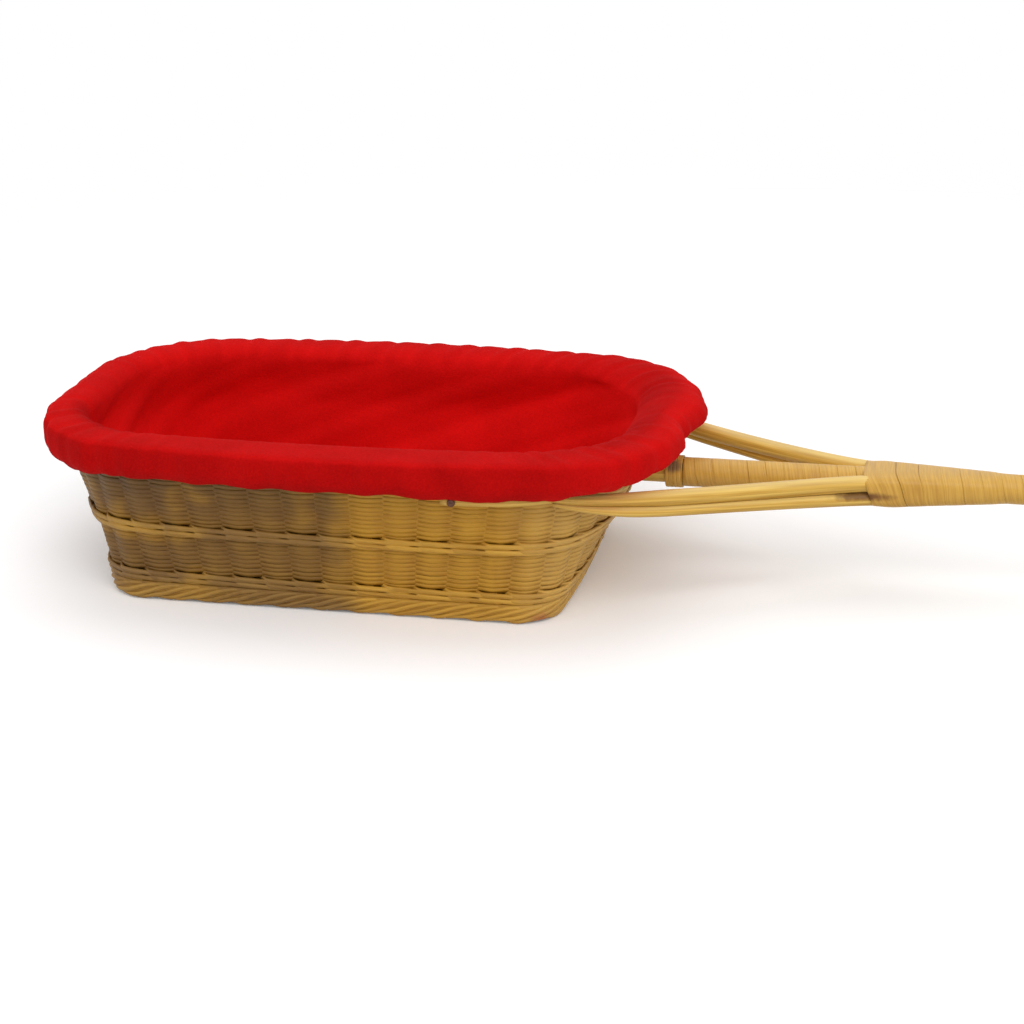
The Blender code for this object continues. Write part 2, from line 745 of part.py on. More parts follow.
def tack(side, label, rod, wall):
    """The tack through the upper rod's end into the wall, and the holes that it goes in."""
    base, out = tack_frame(side)
    crown = rod_offset(tack_share()) + UPPER_ROD_WALL_RADIUS + GAP
    head = [(crown, TACK_HEAD_RADIUS), (crown + TACK_HEAD_THICKNESS, TACK_CROWN_RADIUS)]
    profile = [(-TACK_GRIP, TACK_SHANK_RADIUS), (crown, TACK_SHANK_RADIUS)] + head
    turned_bar(f"{label}_arm_tack", base, out, profile, IRON, IRON_METALLIC)
    bore = TACK_SHANK_RADIUS + GAP
    reach = crown + TACK_HEAD_THICKNESS
    hole = [(-TACK_GRIP - GAP, bore), (reach, bore)]
    for piece in (rod, wall):
        cut(piece, turned_bar(f"{label}_tack_hole_{piece.name}", base, out, hole, IRON))


def roll_outset(share):
    """How much further out the liner's roll stands towards the handle end."""
    return HANDLE_END_OUTSET * max(0.0, wall_normal(share, WALL_TOP)[0]) ** 2


def bag_section(outset):
    """The liner's closed section: the wicker side, then the hem and back down the inside."""
    shoulder = WALL_TOP - BAG_SHOULDER_DROP
    border_side = BORDER_OFFSET - BORDER_RADIUS - BORDER_EASE
    section = [
        (BAG_Z, BAG_FACE, BAG_Z),
        (shoulder, BAG_FACE, shoulder),
        (WALL_TOP, border_side, WALL_TOP),
    ]
    section.append((WALL_TOP, border_side, BORDER_Z))
    step = math.pi / BORDER_WRAP_STEPS
    reach = (BORDER_RADIUS + BORDER_EASE) / math.cos(step / 2)
    for k in range(1, BORDER_WRAP_STEPS):
        offset = BORDER_OFFSET - reach * math.cos(k * step)
        section.append((WALL_TOP, offset, BORDER_Z + reach * math.sin(k * step)))
    channel_low = HEM_Z + ELASTIC_RAISE - GAP
    channel_high = HEM_Z + ELASTIC_RAISE + ELASTIC_WIDTH + GAP
    channel_floor = HEM_FACE + ELASTIC_THICKNESS + GAP
    section += [
        (WALL_TOP, HEM_FACE, BORDER_Z),
        (WALL_TOP, HEM_FACE, channel_high),
        (WALL_TOP, channel_floor, channel_high),
        (WALL_TOP, channel_floor, channel_low),
        (WALL_TOP, HEM_FACE, channel_low),
        (WALL_TOP, HEM_FACE, HEM_Z),
    ]
    for angle in np.linspace(HEM_ANGLE, math.pi, ROLL_STEPS):
        offset = ROLL_OFFSET + outset / 2 + (ROLL_HALF_WIDTH + outset / 2) * math.cos(angle)
        section.append((WALL_TOP, offset, ROLL_Z + ROLL_HALF_HEIGHT * math.sin(angle)))
    inside = BAG_FACE - CLOTH
    section.append((shoulder, inside, shoulder))
    section.append((BAG_Z, inside, BAG_Z))
    return section


def liner():
    """The cloth liner: its side with the rolled top and hem, its bottom and the hem's elastic."""
    sections = [bag_section(roll_outset(share)) for share in liner_shares()]
    side = shaped_ring("liner_side", liner_shares(), sections, FELT)
    rings = []
    inside = BAG_FACE - CLOTH - GAP
    for level in (BAG_Z, BAG_Z + CLOTH):
        rings.append([place(share, level, inside, level) for share in liner_shares()])
    bottom = capped_loft("liner_bottom", rings, FELT)
    low = HEM_Z + ELASTIC_RAISE
    high = low + ELASTIC_WIDTH
    section = [
        (WALL_TOP, HEM_FACE, low),
        (WALL_TOP, HEM_FACE + ELASTIC_THICKNESS, low),
        (WALL_TOP, HEM_FACE + ELASTIC_THICKNESS, high),
        (WALL_TOP, HEM_FACE, high),
    ]
    elastic = closed_ring("liner_elastic", liner_shares(), section, ELASTIC)
    return [side, bottom, elastic]


def gather(name, pieces):
    """Hang pieces that move together on an empty at the origin, on the line they lift along."""
    holder = bpy.data.objects.new(name, None)
    bpy.context.scene.collection.objects.link(holder)
    for piece in pieces:
        piece.parent = holder


def main():
    for old in list(bpy.data.objects):
        bpy.data.objects.remove(old, do_unlink=True)
    base_mat()
    foot_border()
    wale("upset_wale", UPSET_WALE_Z)
    weave("lower_weave", LOWER_WEAVE_Z, LOWER_WEAVE_HEIGHT)
    wale("middle_wale", MIDDLE_WALE_Z)
    upper_weave = weave("upper_weave", UPPER_WEAVE_Z, UPPER_WEAVE_HEIGHT)
    rim_border()
    stakes()
    handle_pole()
    tenon_start = end_wall_x(POLE_HEIGHT, WEAVE_BACK) - POLE_RADIUS
    tenon_end = end_wall_x(POLE_HEIGHT, 0.0) + POLE_RADIUS
    tenon_hole = cylinder_x(
        "tenon_hole", tenon_start, tenon_end, POLE_HEIGHT, TENON_RADIUS + GAP, POLE_SIDES, CANE
    )
    cut(upper_weave, tenon_hole)
    wraps()
    for side, label in ((-1, "front"), (1, "back")):
        upper_rod = arm(side, label)
        tack(side, label, upper_rod, upper_weave)
    gather("basket", list(bpy.data.objects))
    gather("liner_lift", liner())


main()
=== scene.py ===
"""Collection basket: the woven wicker, cane and red felt that dress the packed model.

The packed model is loaded as a fixed frame, in metres: +X runs along the handle, +Y goes to the
basket's far side and +Z up, from the middle of the flat underside. Every new piece is a surface
of two parameters worked out as whole numpy arrays. A place on the basket's wall is given by its
share of the way round, from the middle of the near side, 0.25 being the middle of the handle end.
"""

import math

import bpy
import numpy as np
from mathutils import Matrix


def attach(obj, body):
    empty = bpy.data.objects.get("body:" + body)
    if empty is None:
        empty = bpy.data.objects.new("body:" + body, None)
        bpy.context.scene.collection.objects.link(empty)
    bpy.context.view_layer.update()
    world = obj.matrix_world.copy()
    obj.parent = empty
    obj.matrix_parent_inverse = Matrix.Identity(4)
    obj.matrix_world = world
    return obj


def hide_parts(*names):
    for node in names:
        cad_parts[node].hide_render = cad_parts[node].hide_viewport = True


bl_info = {
    "name": "Collection Basket",
    "version": (1, 0, 0),
    "blender": (4, 5, 0),
    "location": "View3D > Sidebar > Basket",
    "description": "Weaves, winds and lines a long-handled collection basket",
    "category": "Object",
}

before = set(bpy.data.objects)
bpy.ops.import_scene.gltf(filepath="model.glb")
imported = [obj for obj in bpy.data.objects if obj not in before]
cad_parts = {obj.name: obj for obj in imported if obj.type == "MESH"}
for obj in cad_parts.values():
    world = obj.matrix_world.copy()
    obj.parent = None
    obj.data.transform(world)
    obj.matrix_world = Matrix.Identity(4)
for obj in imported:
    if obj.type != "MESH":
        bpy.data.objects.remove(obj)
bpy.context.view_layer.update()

TURN = 2 * math.pi
PLAIN_TONE = 0.5

# Sizes shared with the packed model
GAP = 0.0003
FOOT_LENGTH = 0.2470
FOOT_WIDTH = 0.1608
FOOT_CORNER = 0.0190
FOOT_END_BOW = 0.0024
FOOT_LEAN = 0.0010
TOP_LENGTH = 0.3256
TOP_WIDTH = 0.1942
TOP_CORNER = 0.0620
SIDE_BOW = 0.0095
END_BOW = 0.0120
TOP_LEAN = 0.0028
FOOT_HEIGHT = 0.0108
WALE_HEIGHT = 0.0065
LOWER_WEAVE_HEIGHT = 0.0222
UPPER_WEAVE_HEIGHT = 0.0314
STAKE_COUNT = 48
STAKE_THICKNESS = 0.0022
BORDER_RADIUS = 0.0055
BORDER_OFFSET = -0.00265
POLE_RADIUS = 0.0063
POLE_HEIGHT = 0.0600
POLE_END = 0.8000
TENON_RADIUS = 0.0045
WEAVE_BACK = -0.0046
TENON_STANDOUT = 0.0006
WRAP_THICKNESS = 0.0013
BINDING_THICKNESS = 0.0022
BINDING_WIDTH = 0.0090
WALL_BINDING_SETBACK = 0.0166
END_BINDING_SETBACK = 0.0060
UPPER_ROD_RADIUS = 0.0045
UPPER_ROD_WALL_RADIUS = 0.0026
LOWER_ROD_RADIUS = 0.00275
SWELL_SHARE = 0.35
TACK_STAKE_SPACE = 4
ARM_END_STANDOUT = 0.0060
ARM_LEAVE_TURN = math.radians(30.0)
ARM_LEAVE_PULL = 0.55
ARM_JOIN_PULL = 0.35
ARM_DROP_POWER = 3
ARM_TILT = math.radians(50.0)
JUNCTION = 0.2850
SCARF_LENGTH = 0.0600
UPPER_SCARF_RADIUS = 0.0012
LOWER_SCARF_RADIUS = 0.0009
WRAP_LEAD = 0.0040
WRAP_BLEND = 0.0070
SCARF_SQUARENESS = 2.5
TACK_HEAD_RADIUS = 0.0022
TACK_HEAD_THICKNESS = 0.0010
TACK_SHANK_RADIUS = 0.0007
CLOTH = 0.0020
BAG_FACE = -0.0062
BAG_Z = 0.0078
BAG_SHOULDER_DROP = 0.0200
ROLL_RISE = 0.0006
ROLL_HALF_HEIGHT = 0.0108
HEM_ANGLE = -62.0

# Heights worked out from the sizes
UPSET_WALE_Z = FOOT_HEIGHT + GAP
LOWER_WEAVE_Z = UPSET_WALE_Z + WALE_HEIGHT + GAP
MIDDLE_WALE_Z = LOWER_WEAVE_Z + LOWER_WEAVE_HEIGHT + GAP
UPPER_WEAVE_Z = MIDDLE_WALE_Z + WALE_HEIGHT + GAP
WALL_TOP = UPPER_WEAVE_Z + UPPER_WEAVE_HEIGHT
BORDER_Z = WALL_TOP + GAP + BORDER_RADIUS
ROLL_Z = BORDER_Z + ROLL_RISE
HEM_Z = ROLL_Z + ROLL_HALF_HEIGHT * math.sin(math.radians(HEM_ANGLE))
UPPER_ROD_Z = HEM_Z - GAP - UPPER_ROD_WALL_RADIUS
ROD_SPACING = UPPER_ROD_RADIUS + GAP + LOWER_ROD_RADIUS
SCARF_SPACING = UPPER_SCARF_RADIUS + GAP + LOWER_SCARF_RADIUS
WRAP_BORE = POLE_RADIUS + GAP
WRAP_START = JUNCTION - WRAP_LEAD
SCARF_END = JUNCTION + SCARF_LENGTH
END_BINDING_X = POLE_END - END_BINDING_SETBACK - BINDING_WIDTH

# Steps along an outline's straights and corners, the step that finds a wall's direction, the share of the
# way round at which the handle stands, and the steps in which an arm's leaving place is looked for
OUTLINE_STEPS = 40
TANGENT_STEP = 0.002
HANDLE_END = 0.25
LEAVE_STEPS = 200

# The squareness of a section that is a plain ellipse
ROUND = 2.0

# The start of each piece's own random draws
SEEDS = {
    "lower_weavers": 11,
    "upper_weavers": 12,
    "upset_wale_rods": 21,
    "middle_wale_rods": 22,
    "foot_plait": 23,
    "rim_plait": 24,
    "base_rows": 31,
    "wall_binding_cane": 41,
    "middle_arm_wrap_cane": 42,
    "handle_wrap_cane": 43,
    "end_binding_cane": 44,
}

# Wicker: lengths of willow in one round of each kind, waves of their wander, rods in a wale's row, the share
# of its wave that a rod is in front, and how far out over a stake a weaver is rubbed paler and has a painted
# highlight
WEAVER_LENGTHS = 7
WALE_LENGTHS = 9
STRAND_LENGTHS = 8
WEAVER_WAVES = 3
WALE_WAVES = 5
WALE_ROW_RODS = 3
FRONT_SHARE = 2 / 3
WEAVER_RUB_AND_HIGHLIGHT_SPAN = (0.2, 1.0)

# The twisted rings: level and lean of the wall that they follow, the core's place off the wall and its
# height, the ellipse that a strand's centre winds round, the strands, their turns round the core on the way
# round the basket, the half sizes of a strand and of the core, the core's rise and the lower edge's scallop
FOOT_PLAIT = {
    "level": 0.0,
    "lean": 1.0,
    "offset": 0.0016,
    "height": FOOT_HEIGHT / 2,
    "winding": (0.0010, 0.0040),
    "strands": 6,
    "turns": 12,
    "strand": (0.0013, 0.0014),
    "core": (0.0013, 0.0052),
    "core_rise": 0.0009,
    "scallop": 0.0011,
}
RIM_PLAIT = {
    "level": WALL_TOP,
    "lean": 0.0,
    "offset": BORDER_OFFSET,
    "height": BORDER_Z,
    "winding": (0.0034, 0.0034),
    "strands": 6,
    "turns": 8,
    "strand": (0.0021, 0.0021),
    "core": (0.0030, 0.0030),
    "core_rise": 0.0,
    "scallop": 0.0,
}

# The base's two layers, as the axis that the rows run along, their middle height and their swing
BASE_LAYERS = ((0, 0.0056, 0.00155), (1, 0.0020, 0.00145))
BASE_EDGE_STEPS = 720

# Rods: the rings of a domed end, how many rings it replaces, its first angle, its depth as a share of the
# radius, a rod's girth for its pattern, and the share of the way in which the lower rod grows
DOME_RINGS = 4
DOME_SPAN = 2
DOME_START = 0.15
ROD_DOME = 0.8
ROD_GIRTH = 0.024
LOWER_ROD_SWELL_SPAN = (0.4, 1.0)

# The pole's tenon, bevel, rounded end and shaft, and the tacks' sides, depth and head
TENON_TIP_RADIUS = 0.0040
POLE_BEVEL = 0.0006
POLE_ROUNDING = 0.0030
POLE_SHAFT_SPAN = (0.0200, 0.0035)
POLE_SHAFT_RINGS = 60
POLE_ROUNDING_RINGS = 6
TACK_SIDES = 16
TACK_DEPTH = 0.0030
TACK_RIM = 0.0003
TACK_RIM_SHARE = 0.94
TACK_DOME_ANGLES = (0.5, 0.9, 1.25)
TURNED_GIRTH = 0.0132

# Across a strip of cane: places over its width and depths over its thickness, the last two underneath
STRIP_PLACES = np.array([-0.5, -0.45, -0.3, 0.0, 0.3, 0.45, 0.5, 0.25, -0.25])
STRIP_DEPTHS = np.array([0.90, 0.96, 0.99, 1.0, 0.99, 0.96, 0.90, 0.0, 0.0])

# The liner's waves, each with its size, count, phase, sway and how often it sways
FOLDS = ((1.0, 5, 0.1, 0.0, 0), (0.6, 11, 0.35, 0.0, 0), (0.3, 23, 0.0, 0.0, 0))
GATHERS = ((1.0, 61, 0.0, 0.15, 7), (0.5, 97, 0.4, 0.0, 0))
RIPPLES = ((1.0, 37, 0.0, 0.3, 5), (0.6, 83, 0.2, 0.0, 0))
HEM_WAVES = ((1.0, 29, 0.0, 0.2, 3),)
PUCKERS = ((1.0, 40, 0.0, 0.0, 0),)

# The gathers' painted light and shade, as a share of the folds'
GATHER_LIGHT_SHARE = 0.5

# Spans that the liner's changes are spread over, by how far the wall faces the handle or either end
LIP_SPAN = (0.3, 0.8)
END_HEM_SPAN = (0.0, 0.7)
END_BAND_SPAN = (0.3, 0.9)
END_SLOPE_SPAN = (0.35, 0.85)
CORNER_SLOPE_SPAN = (0.3, 0.9)

# Spans by the way across the roll, from -1 at its inner edge to 1 at its outer edge
DRAWN_IN_SPAN = (-0.3, 0.6)
RIM_SPAN = (0.3, 1.0)
SLOPE_SPAN = (-0.1, 0.55)
NEAR_SLOPE_SPAN = (-0.8, 0.0)

# Spans along the handle in which the near side's hem begins and ceases to be lifted
LIFT_SPAN = (-0.160, -0.090)
LIFT_END_SPAN = (0.045, 0.085)

# Spans by rows of points: up from the bottom, then from the first row of the roll
BOTTOM_ROWS = (0, 5)
NECK_ROWS = (-3, 3)
ROLL_ROWS = (0, 6)
BAND_ROWS = (-6, 8)

# The liner's girths for its pattern, the hole's share in the bottom's middle, and how closely the puckers
# and the dome keep to the seam
LINER_GIRTH = 0.28
FLOOR_GIRTH = 0.6
FLOOR_MIDDLE = 0.03
PUCKER_POWER = 6
SEAM_POWER = 20

BLACK = (0.0, 0.0, 0.0)
WHITE = (1.0, 1.0, 1.0)

# Marks on the willow, each blot with its centre, half sizes, colour and strength
# A dark red-brown mark where the arms' rods go under the grip's winding
JUNCTION_DARK_MARK = ((0.2780, -0.0170, 0.0574), (0.0190, 0.0080, 0.0027), (0.110, 0.029, 0.006), 0.85)
BINDING_STAIN = ((0.1765, -0.0070, 0.0655), (0.0062, 0.0060, 0.0042), (0.080, 0.050, 0.048), 0.75)
FOOT_STAIN = ((0.1185, -0.0820, 0.0022), (0.0060, 0.0100, 0.0042), (0.38, 0.075, 0.030), 0.62)
BLOTCH_RAGGEDNESS = 0.7
BLOTCH_SPAN = (1.20, 0.30)

# Where the willow has aged: the edge's waver, the noise's light patches, the heights under the liner's roll
# where it is darker by painted shade and the places along the handle where it is darker, the age everywhere
# and what those two add, and the two lighter places
AGE_WAVER = 0.016
PATCH_SPAN = (0.52, 0.68)
UNDER_ROLL_SHADE_SPAN = (0.046, 0.070)
FAR_SPAN = (-0.020, -0.095)
AGE_EVERYWHERE = 0.72
AGE_AND_SHADE_ADDED = 0.13
LIGHT_PLACES = (
    ((-0.105, -0.088, 0.0410), (0.040, 0.030, 0.0070)),
    ((-0.090, -0.080, 0.0050), (0.055, 0.030, 0.0085)),
)
LIGHT_PLACE_STRENGTH = 0.5

# Where the wicker is paler near the handle, and the painted highlight on top of the cane and rattan and the
# painted shade under them
PALER_SPAN = (0.095, 0.140)
PALER_STRENGTH = 0.30
PALE_STRAW = (0.80, 0.56, 0.20)
PAINTED_TOP_HIGHLIGHT = (0.93, 0.78, 0.36)
TOP_HIGHLIGHT_SPAN = (0.35, 0.98)
SHADED_SPAN = (0.35, -0.55)

# Fibres: how far a noise is stretched for marks and for stakes, its spans for streaks, marks and gloss, and
# how much marks and gloss change
MARK_STRETCH = (0.9, 0.12, 1.0)
STAKE_STRETCH = (900.0, 900.0, 60.0)
STREAK_SPAN = (0.30, 0.70)
MARK_SPAN = (0.60, 0.76)
MARK_STRENGTH = 0.55
GLOSS_SPAN = (0.2, 0.8)
GLOSS_CHANGE = 0.16

# The felt's share of each noise and of the tone in its colour, and the clouds' share in its relief
FELT_NOISE_SHARE = 0.16
FELT_TONE_SHARE = 0.70
FELT_CLOUD_HEIGHT = 1.5

# The tacks' spots: their span of a noise, and how much rougher they are
RUST_SPAN = (0.45, 0.65)
RUST_ROUGHNESS = 0.3

# The stage: half the floor's side, where it is solid about the object and where it has faded, and the lamps
FLOOR_REACH = 3.0
FLOOR_MIDDLE_POINT = (0.25, 0.0, 0.0)
FLOOR_FADE = (0.55, 1.15)
LAMP_TARGET = (0.1, 0.0, 0.05)
LAMPS = (
    ("key_lamp", (0.75, -1.25, 1.45), 1.3),
    ("fill_lamp", (-1.35, -0.75, 0.85), 1.2),
    ("top_lamp", (-0.1, 0.55, 1.75), 1.5),
)
CAMERA_NEAR = 0.02


def outline(length, width, corner, side_bow, end_bow, lean):
    """Shares of the way round and the points of a rounded rectangle with bowed sides.

    A quarter is a straight, an arc and a straight. Each x then shrinks by end_bow times the square
    of y over the half width, and each y by side_bow times the square of x over the half length.
    """
    half_x, half_y = length / 2, width / 2
    straight = np.linspace(0.0, half_x - corner, OUTLINE_STEPS)
    arc = np.linspace(-np.pi / 2, 0.0, OUTLINE_STEPS)[1:]
    upright = np.linspace(corner - half_y, 0.0, OUTLINE_STEPS)[1:]
    x = np.concatenate([straight, half_x - corner + corner * np.cos(arc), np.full(upright.size, half_x)])
    y = np.concatenate([np.full(straight.size, -half_y), corner - half_y + corner * np.sin(arc), upright])
    x, y = x * (1 - end_bow / half_x * (y / half_y) ** 2), y * (1 - side_bow / half_y * (x / half_x) ** 2)
    x, y = np.concatenate([x, x[-2::-1]]), np.concatenate([y, -y[-2::-1]])
    x, y = np.concatenate([x, -x[-2::-1]]), np.concatenate([y, y[-2::-1]])
    lengths = np.concatenate([[0.0], np.cumsum(np.hypot(np.diff(x), np.diff(y)))])
    return lengths / lengths[-1], np.stack([x + lean, y], axis=-1), lengths[-1]


FOOT = outline(FOOT_LENGTH, FOOT_WIDTH, FOOT_CORNER, 0.0, FOOT_END_BOW, FOOT_LEAN)
TOP = outline(TOP_LENGTH, TOP_WIDTH, TOP_CORNER, SIDE_BOW, END_BOW, TOP_LEAN)


def on_outline(shape, share):
    """The points of an outline at an array of shares, found between its own points."""
    shares, points, _ = shape
    wrapped = np.mod(share, 1.0)
    x = np.interp(wrapped, shares, points[:, 0])
    y = np.interp(wrapped, shares, points[:, 1])
    return np.stack([x, y], axis=-1)


def wall_point(share, level):
    """The stakes' outer face: foot and top outline blended by height over the wall's height."""
    blend = np.minimum(level / WALL_TOP, 1.0)[..., None]
    return on_outline(FOOT, share) * (1 - blend) + on_outline(TOP, share) * blend


def wall_directions(share, level):
    """Unit directions along the wall and out of it, from the points a small step to each side."""
    step = wall_point(share + TANGENT_STEP, level) - wall_point(share - TANGENT_STEP, level)
    along = step / np.linalg.norm(step, axis=-1, keepdims=True)
    out = np.stack([along[..., 1], -along[..., 0]], axis=-1)
    return along, out


def place(share, level, offset, z):
    """Points off the wall: the wall's point plus its outward direction times the offset, at height z."""
    share, level, offset, z = np.broadcast_arrays(share, level, offset, z)
    _, out = wall_directions(share, level)
    flat = wall_point(share, level) + out * offset[..., None]
    return np.concatenate([flat, z[..., None]], axis=-1)


def smooth_step(low, high, value):
    """0 below low, 1 above high and 3t^2 - 2t^3 between them."""
    t = np.clip((value - low) / (high - low), 0.0, 1.0)
    return t * t * (3 - 2 * t)


def loft(name, rings, closed, girth, tone=None):
    """A closed mesh from rings of points, an array of strands, steps along, steps round and xyz.

    Each face joins two neighbours round a ring to the same two of the next ring. The path of rings is
    either closed on itself or capped by its first and last ring. UV runs in metres along and round.
    """
    strands, along, around = rings.shape[:3]
    spans = along if closed else along - 1
    strand, step, turn = np.meshgrid(np.arange(strands), np.arange(spans), np.arange(around), indexing="ij")

    def point(step_on, turn_on):
        """Where a point stands in the list, counted on from the last of a ring or path to its first."""
        return (strand * along + step_on % along) * around + turn_on % around

    quads = [point(step, turn), point(step, turn + 1), point(step + 1, turn + 1), point(step + 1, turn)]
    quads = np.stack(quads, -1)
    centres = rings.mean(axis=2)
    reach = np.linalg.norm(np.roll(centres, -1, axis=1) - centres, axis=-1)[:, :spans]
    run = np.concatenate([np.zeros((strands, 1)), np.cumsum(reach, axis=1)], axis=1)
    u_here, u_next = run[strand, step], run[strand, step + 1]
    v_here, v_next = turn * girth / around, (turn + 1) * girth / around
    u = np.stack([u_here, u_here, u_next, u_next], -1)
    v = np.stack([v_here, v_next, v_next, v_here], -1)
    verts = rings.reshape(-1, 3)
    quads = quads.reshape(-1, 4)
    corners = verts[quads]
    wedge = np.einsum("ij,ij->i", corners[:, 0], np.cross(corners[:, 1], corners[:, 2]))
    wedge += np.einsum("ij,ij->i", corners[:, 0], np.cross(corners[:, 2], corners[:, 3]))
    inward = wedge.sum() < 0
    loops, uvs, sizes = [quads.ravel()], [np.stack([u, v], -1).reshape(-1, 2)], [np.full(len(quads), 4)]
    if not closed:
        first = (np.arange(strands)[:, None] * along) * around + np.arange(around)[None, ::-1]
        last = (np.arange(strands)[:, None] * along + along - 1) * around + np.arange(around)[None, :]
        caps = np.concatenate([first, last])
        loops.append(caps.ravel())
        uvs.append(np.stack([np.full(caps.size, girth), (caps.ravel() % around) * girth / around], -1))
        sizes.append(np.full(len(caps), around))
    loops, uvs, sizes = np.concatenate(loops), np.concatenate(uvs), np.concatenate(sizes)
    starts = np.concatenate([[0], np.cumsum(sizes)[:-1]])
    if inward:
        mirrored = np.repeat(starts * 2 + sizes - 1, sizes) - np.arange(loops.size)
        loops, uvs = loops[mirrored], uvs[mirrored]
    mesh = bpy.data.meshes.new(name)
    mesh.vertices.add(len(verts))
    mesh.vertices.foreach_set("co", verts.ravel())
    mesh.loops.add(len(loops))
    mesh.loops.foreach_set("vertex_index", loops.astype(np.int32))
    mesh.polygons.add(len(sizes))
    mesh.polygons.foreach_set("loop_start", starts.astype(np.int32))
    mesh.update(calc_edges=True)
    mesh.shade_smooth()
    layer = mesh.uv_layers.new(name="Along")
    layer.data.foreach_set("uv", uvs.ravel())
    shade = np.full(rings.shape[:3], PLAIN_TONE) if tone is None else np.broadcast_to(tone, rings.shape[:3])
    attribute = mesh.attributes.new(name="tone", type="FLOAT", domain="POINT")
    attribute.data.foreach_set("value", np.ascontiguousarray(shade, dtype=np.float32).ravel())
    mesh.validate()
    piece = bpy.data.objects.new(name, mesh)
    bpy.context.scene.collection.objects.link(piece)
    return piece


def dress(piece, body, slot, material, *nodes):
    """Give a new piece its finish and its body, and hide the packed nodes that it stands for."""
    piece.data.materials.append(material)
    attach(piece, body)
    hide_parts(*nodes)


def draws(name):
    """A piece's random numbers, which come out the same each run."""
    return np.random.default_rng(SEEDS[name])


def oval(count, half_out, half_up):
    """Points round a small ellipse: out by a cosine and up by a sine of the angle."""
    angle = np.arange(count) * TURN / count
    return half_out * np.cos(angle), half_up * np.sin(angle)


def patchy(rng, strands, share, pieces):
    """A tone for each strand that changes where one length of willow ends and the next begins."""
    tones = rng.uniform(0.0, 1.0, (strands, pieces))
    start = rng.uniform(0.0, 1.0, (strands, 1))
    index = np.floor(np.mod(share[None, :] + start, 1.0) * pieces).astype(int)
    return np.take_along_axis(tones, index, axis=1)


def weaver_rows(name, base, height, look):
    """Fine weavers, each in front of one stake and behind the next.

    The offset peaks at every second stake and neighbouring rows are half a wave apart: with
    c = cos(pi (stakes share - 1/2) + pi row), offset = middle + swing sign(c) |c|^peak.
    """
    base, height = base - look.weaver_overlap, height + 2 * look.weaver_overlap
    rows = round(height / look.weaver_pitch)
    pitch = height / rows
    rng = draws(name)
    share = np.arange(STAKE_COUNT * look.weaver_steps) / (STAKE_COUNT * look.weaver_steps)
    row = np.arange(rows)[:, None]
    wave = np.cos(np.pi * (STAKE_COUNT * share[None, :] - 0.5 + row))
    swing = (STAKE_THICKNESS + look.weaver_thickness) / 2 + look.weaver_ease
    offset = -STAKE_THICKNESS / 2 + swing * np.sign(wave) * np.abs(wave) ** look.weaver_peak
    size, phase = rng.uniform(-1, 1, (rows, 1)), rng.uniform(0, 1, (rows, 1))
    drift = size * np.sin(TURN * (WEAVER_WAVES * share[None, :] + phase))
    z = base + (row + 0.5) * pitch + look.weaver_wander * drift
    stretch = 1 + look.weaver_unevenness * rng.uniform(-1, 1, (rows, 1, 1))
    out, up = oval(look.weaver_sides, look.weaver_thickness / 2, pitch / 2 * look.weaver_fill)
    level = z[..., None] + up * stretch
    rings = place(share[None, :, None], level, offset[..., None] + out * stretch, level)
    # Lighter where a weaver stands out over a stake: rubbed paler there, and a painted highlight
    lighter_share = smooth_step(*WEAVER_RUB_AND_HIGHLIGHT_SPAN, wave)
    tone = (1 - look.weaver_rub_and_highlight) * patchy(rng, rows, share, WEAVER_LENGTHS) + look.weaver_rub_and_highlight * lighter_share
    return loft(name, rings, True, 3 * pitch, tone[..., None])


def waling(name, base, look):
    """Two rows of three heavy rods, each over two stakes and behind one.

    With u the place in a rod's wave of three stakes, the rod is in front while u is below 2/3 and sinks
    evenly from its upper lane to its lower one, then climbs back behind the third stake.
    """
    rng = draws(name)
    share = np.arange(STAKE_COUNT * look.wale_steps) / (STAKE_COUNT * look.wale_steps)
    strand = np.arange(2 * WALE_ROW_RODS)[:, None]
    u = np.mod(STAKE_COUNT / WALE_ROW_RODS * share[None, :] - (strand % WALE_ROW_RODS) / WALE_ROW_RODS, 1.0)
    blend = look.wale_turn
    front = smooth_step(-blend, blend, u) * (1 - smooth_step(FRONT_SHARE - blend, FRONT_SHARE + blend, u))
    front = front + smooth_step(1 - blend, 1 + blend, u)
    outer = look.wale_radius + look.wale_ease
    outer = outer + look.wale_rise * (1 - np.minimum(u, FRONT_SHARE) / FRONT_SHARE)
    behind = -STAKE_THICKNESS - look.wale_radius
    offset = behind + (outer - behind) * front
    sinking, climbing = 1 - 2 * u / FRONT_SHARE, 1 - 2 * (1 - u) / (1 - FRONT_SHARE)
    row_z = base + WALE_HEIGHT * np.where(strand < WALE_ROW_RODS, 0.25, 0.75)
    wander = np.sin(TURN * (WALE_WAVES * share[None, :] + rng.uniform(0, 1, (strand.size, 1))))
    z = row_z + look.wale_lane * np.where(u < FRONT_SHARE, sinking, climbing) + look.weaver_wander * wander
    out, up = oval(look.strand_sides, look.wale_radius, look.wale_half_height)
    level = z[..., None] + up
    rings = place(share[None, :, None], level, offset[..., None] + out, level)
    tone = patchy(rng, strand.size, share, WALE_LENGTHS)
    return loft(name, rings, True, TURN * look.wale_radius, tone[..., None])


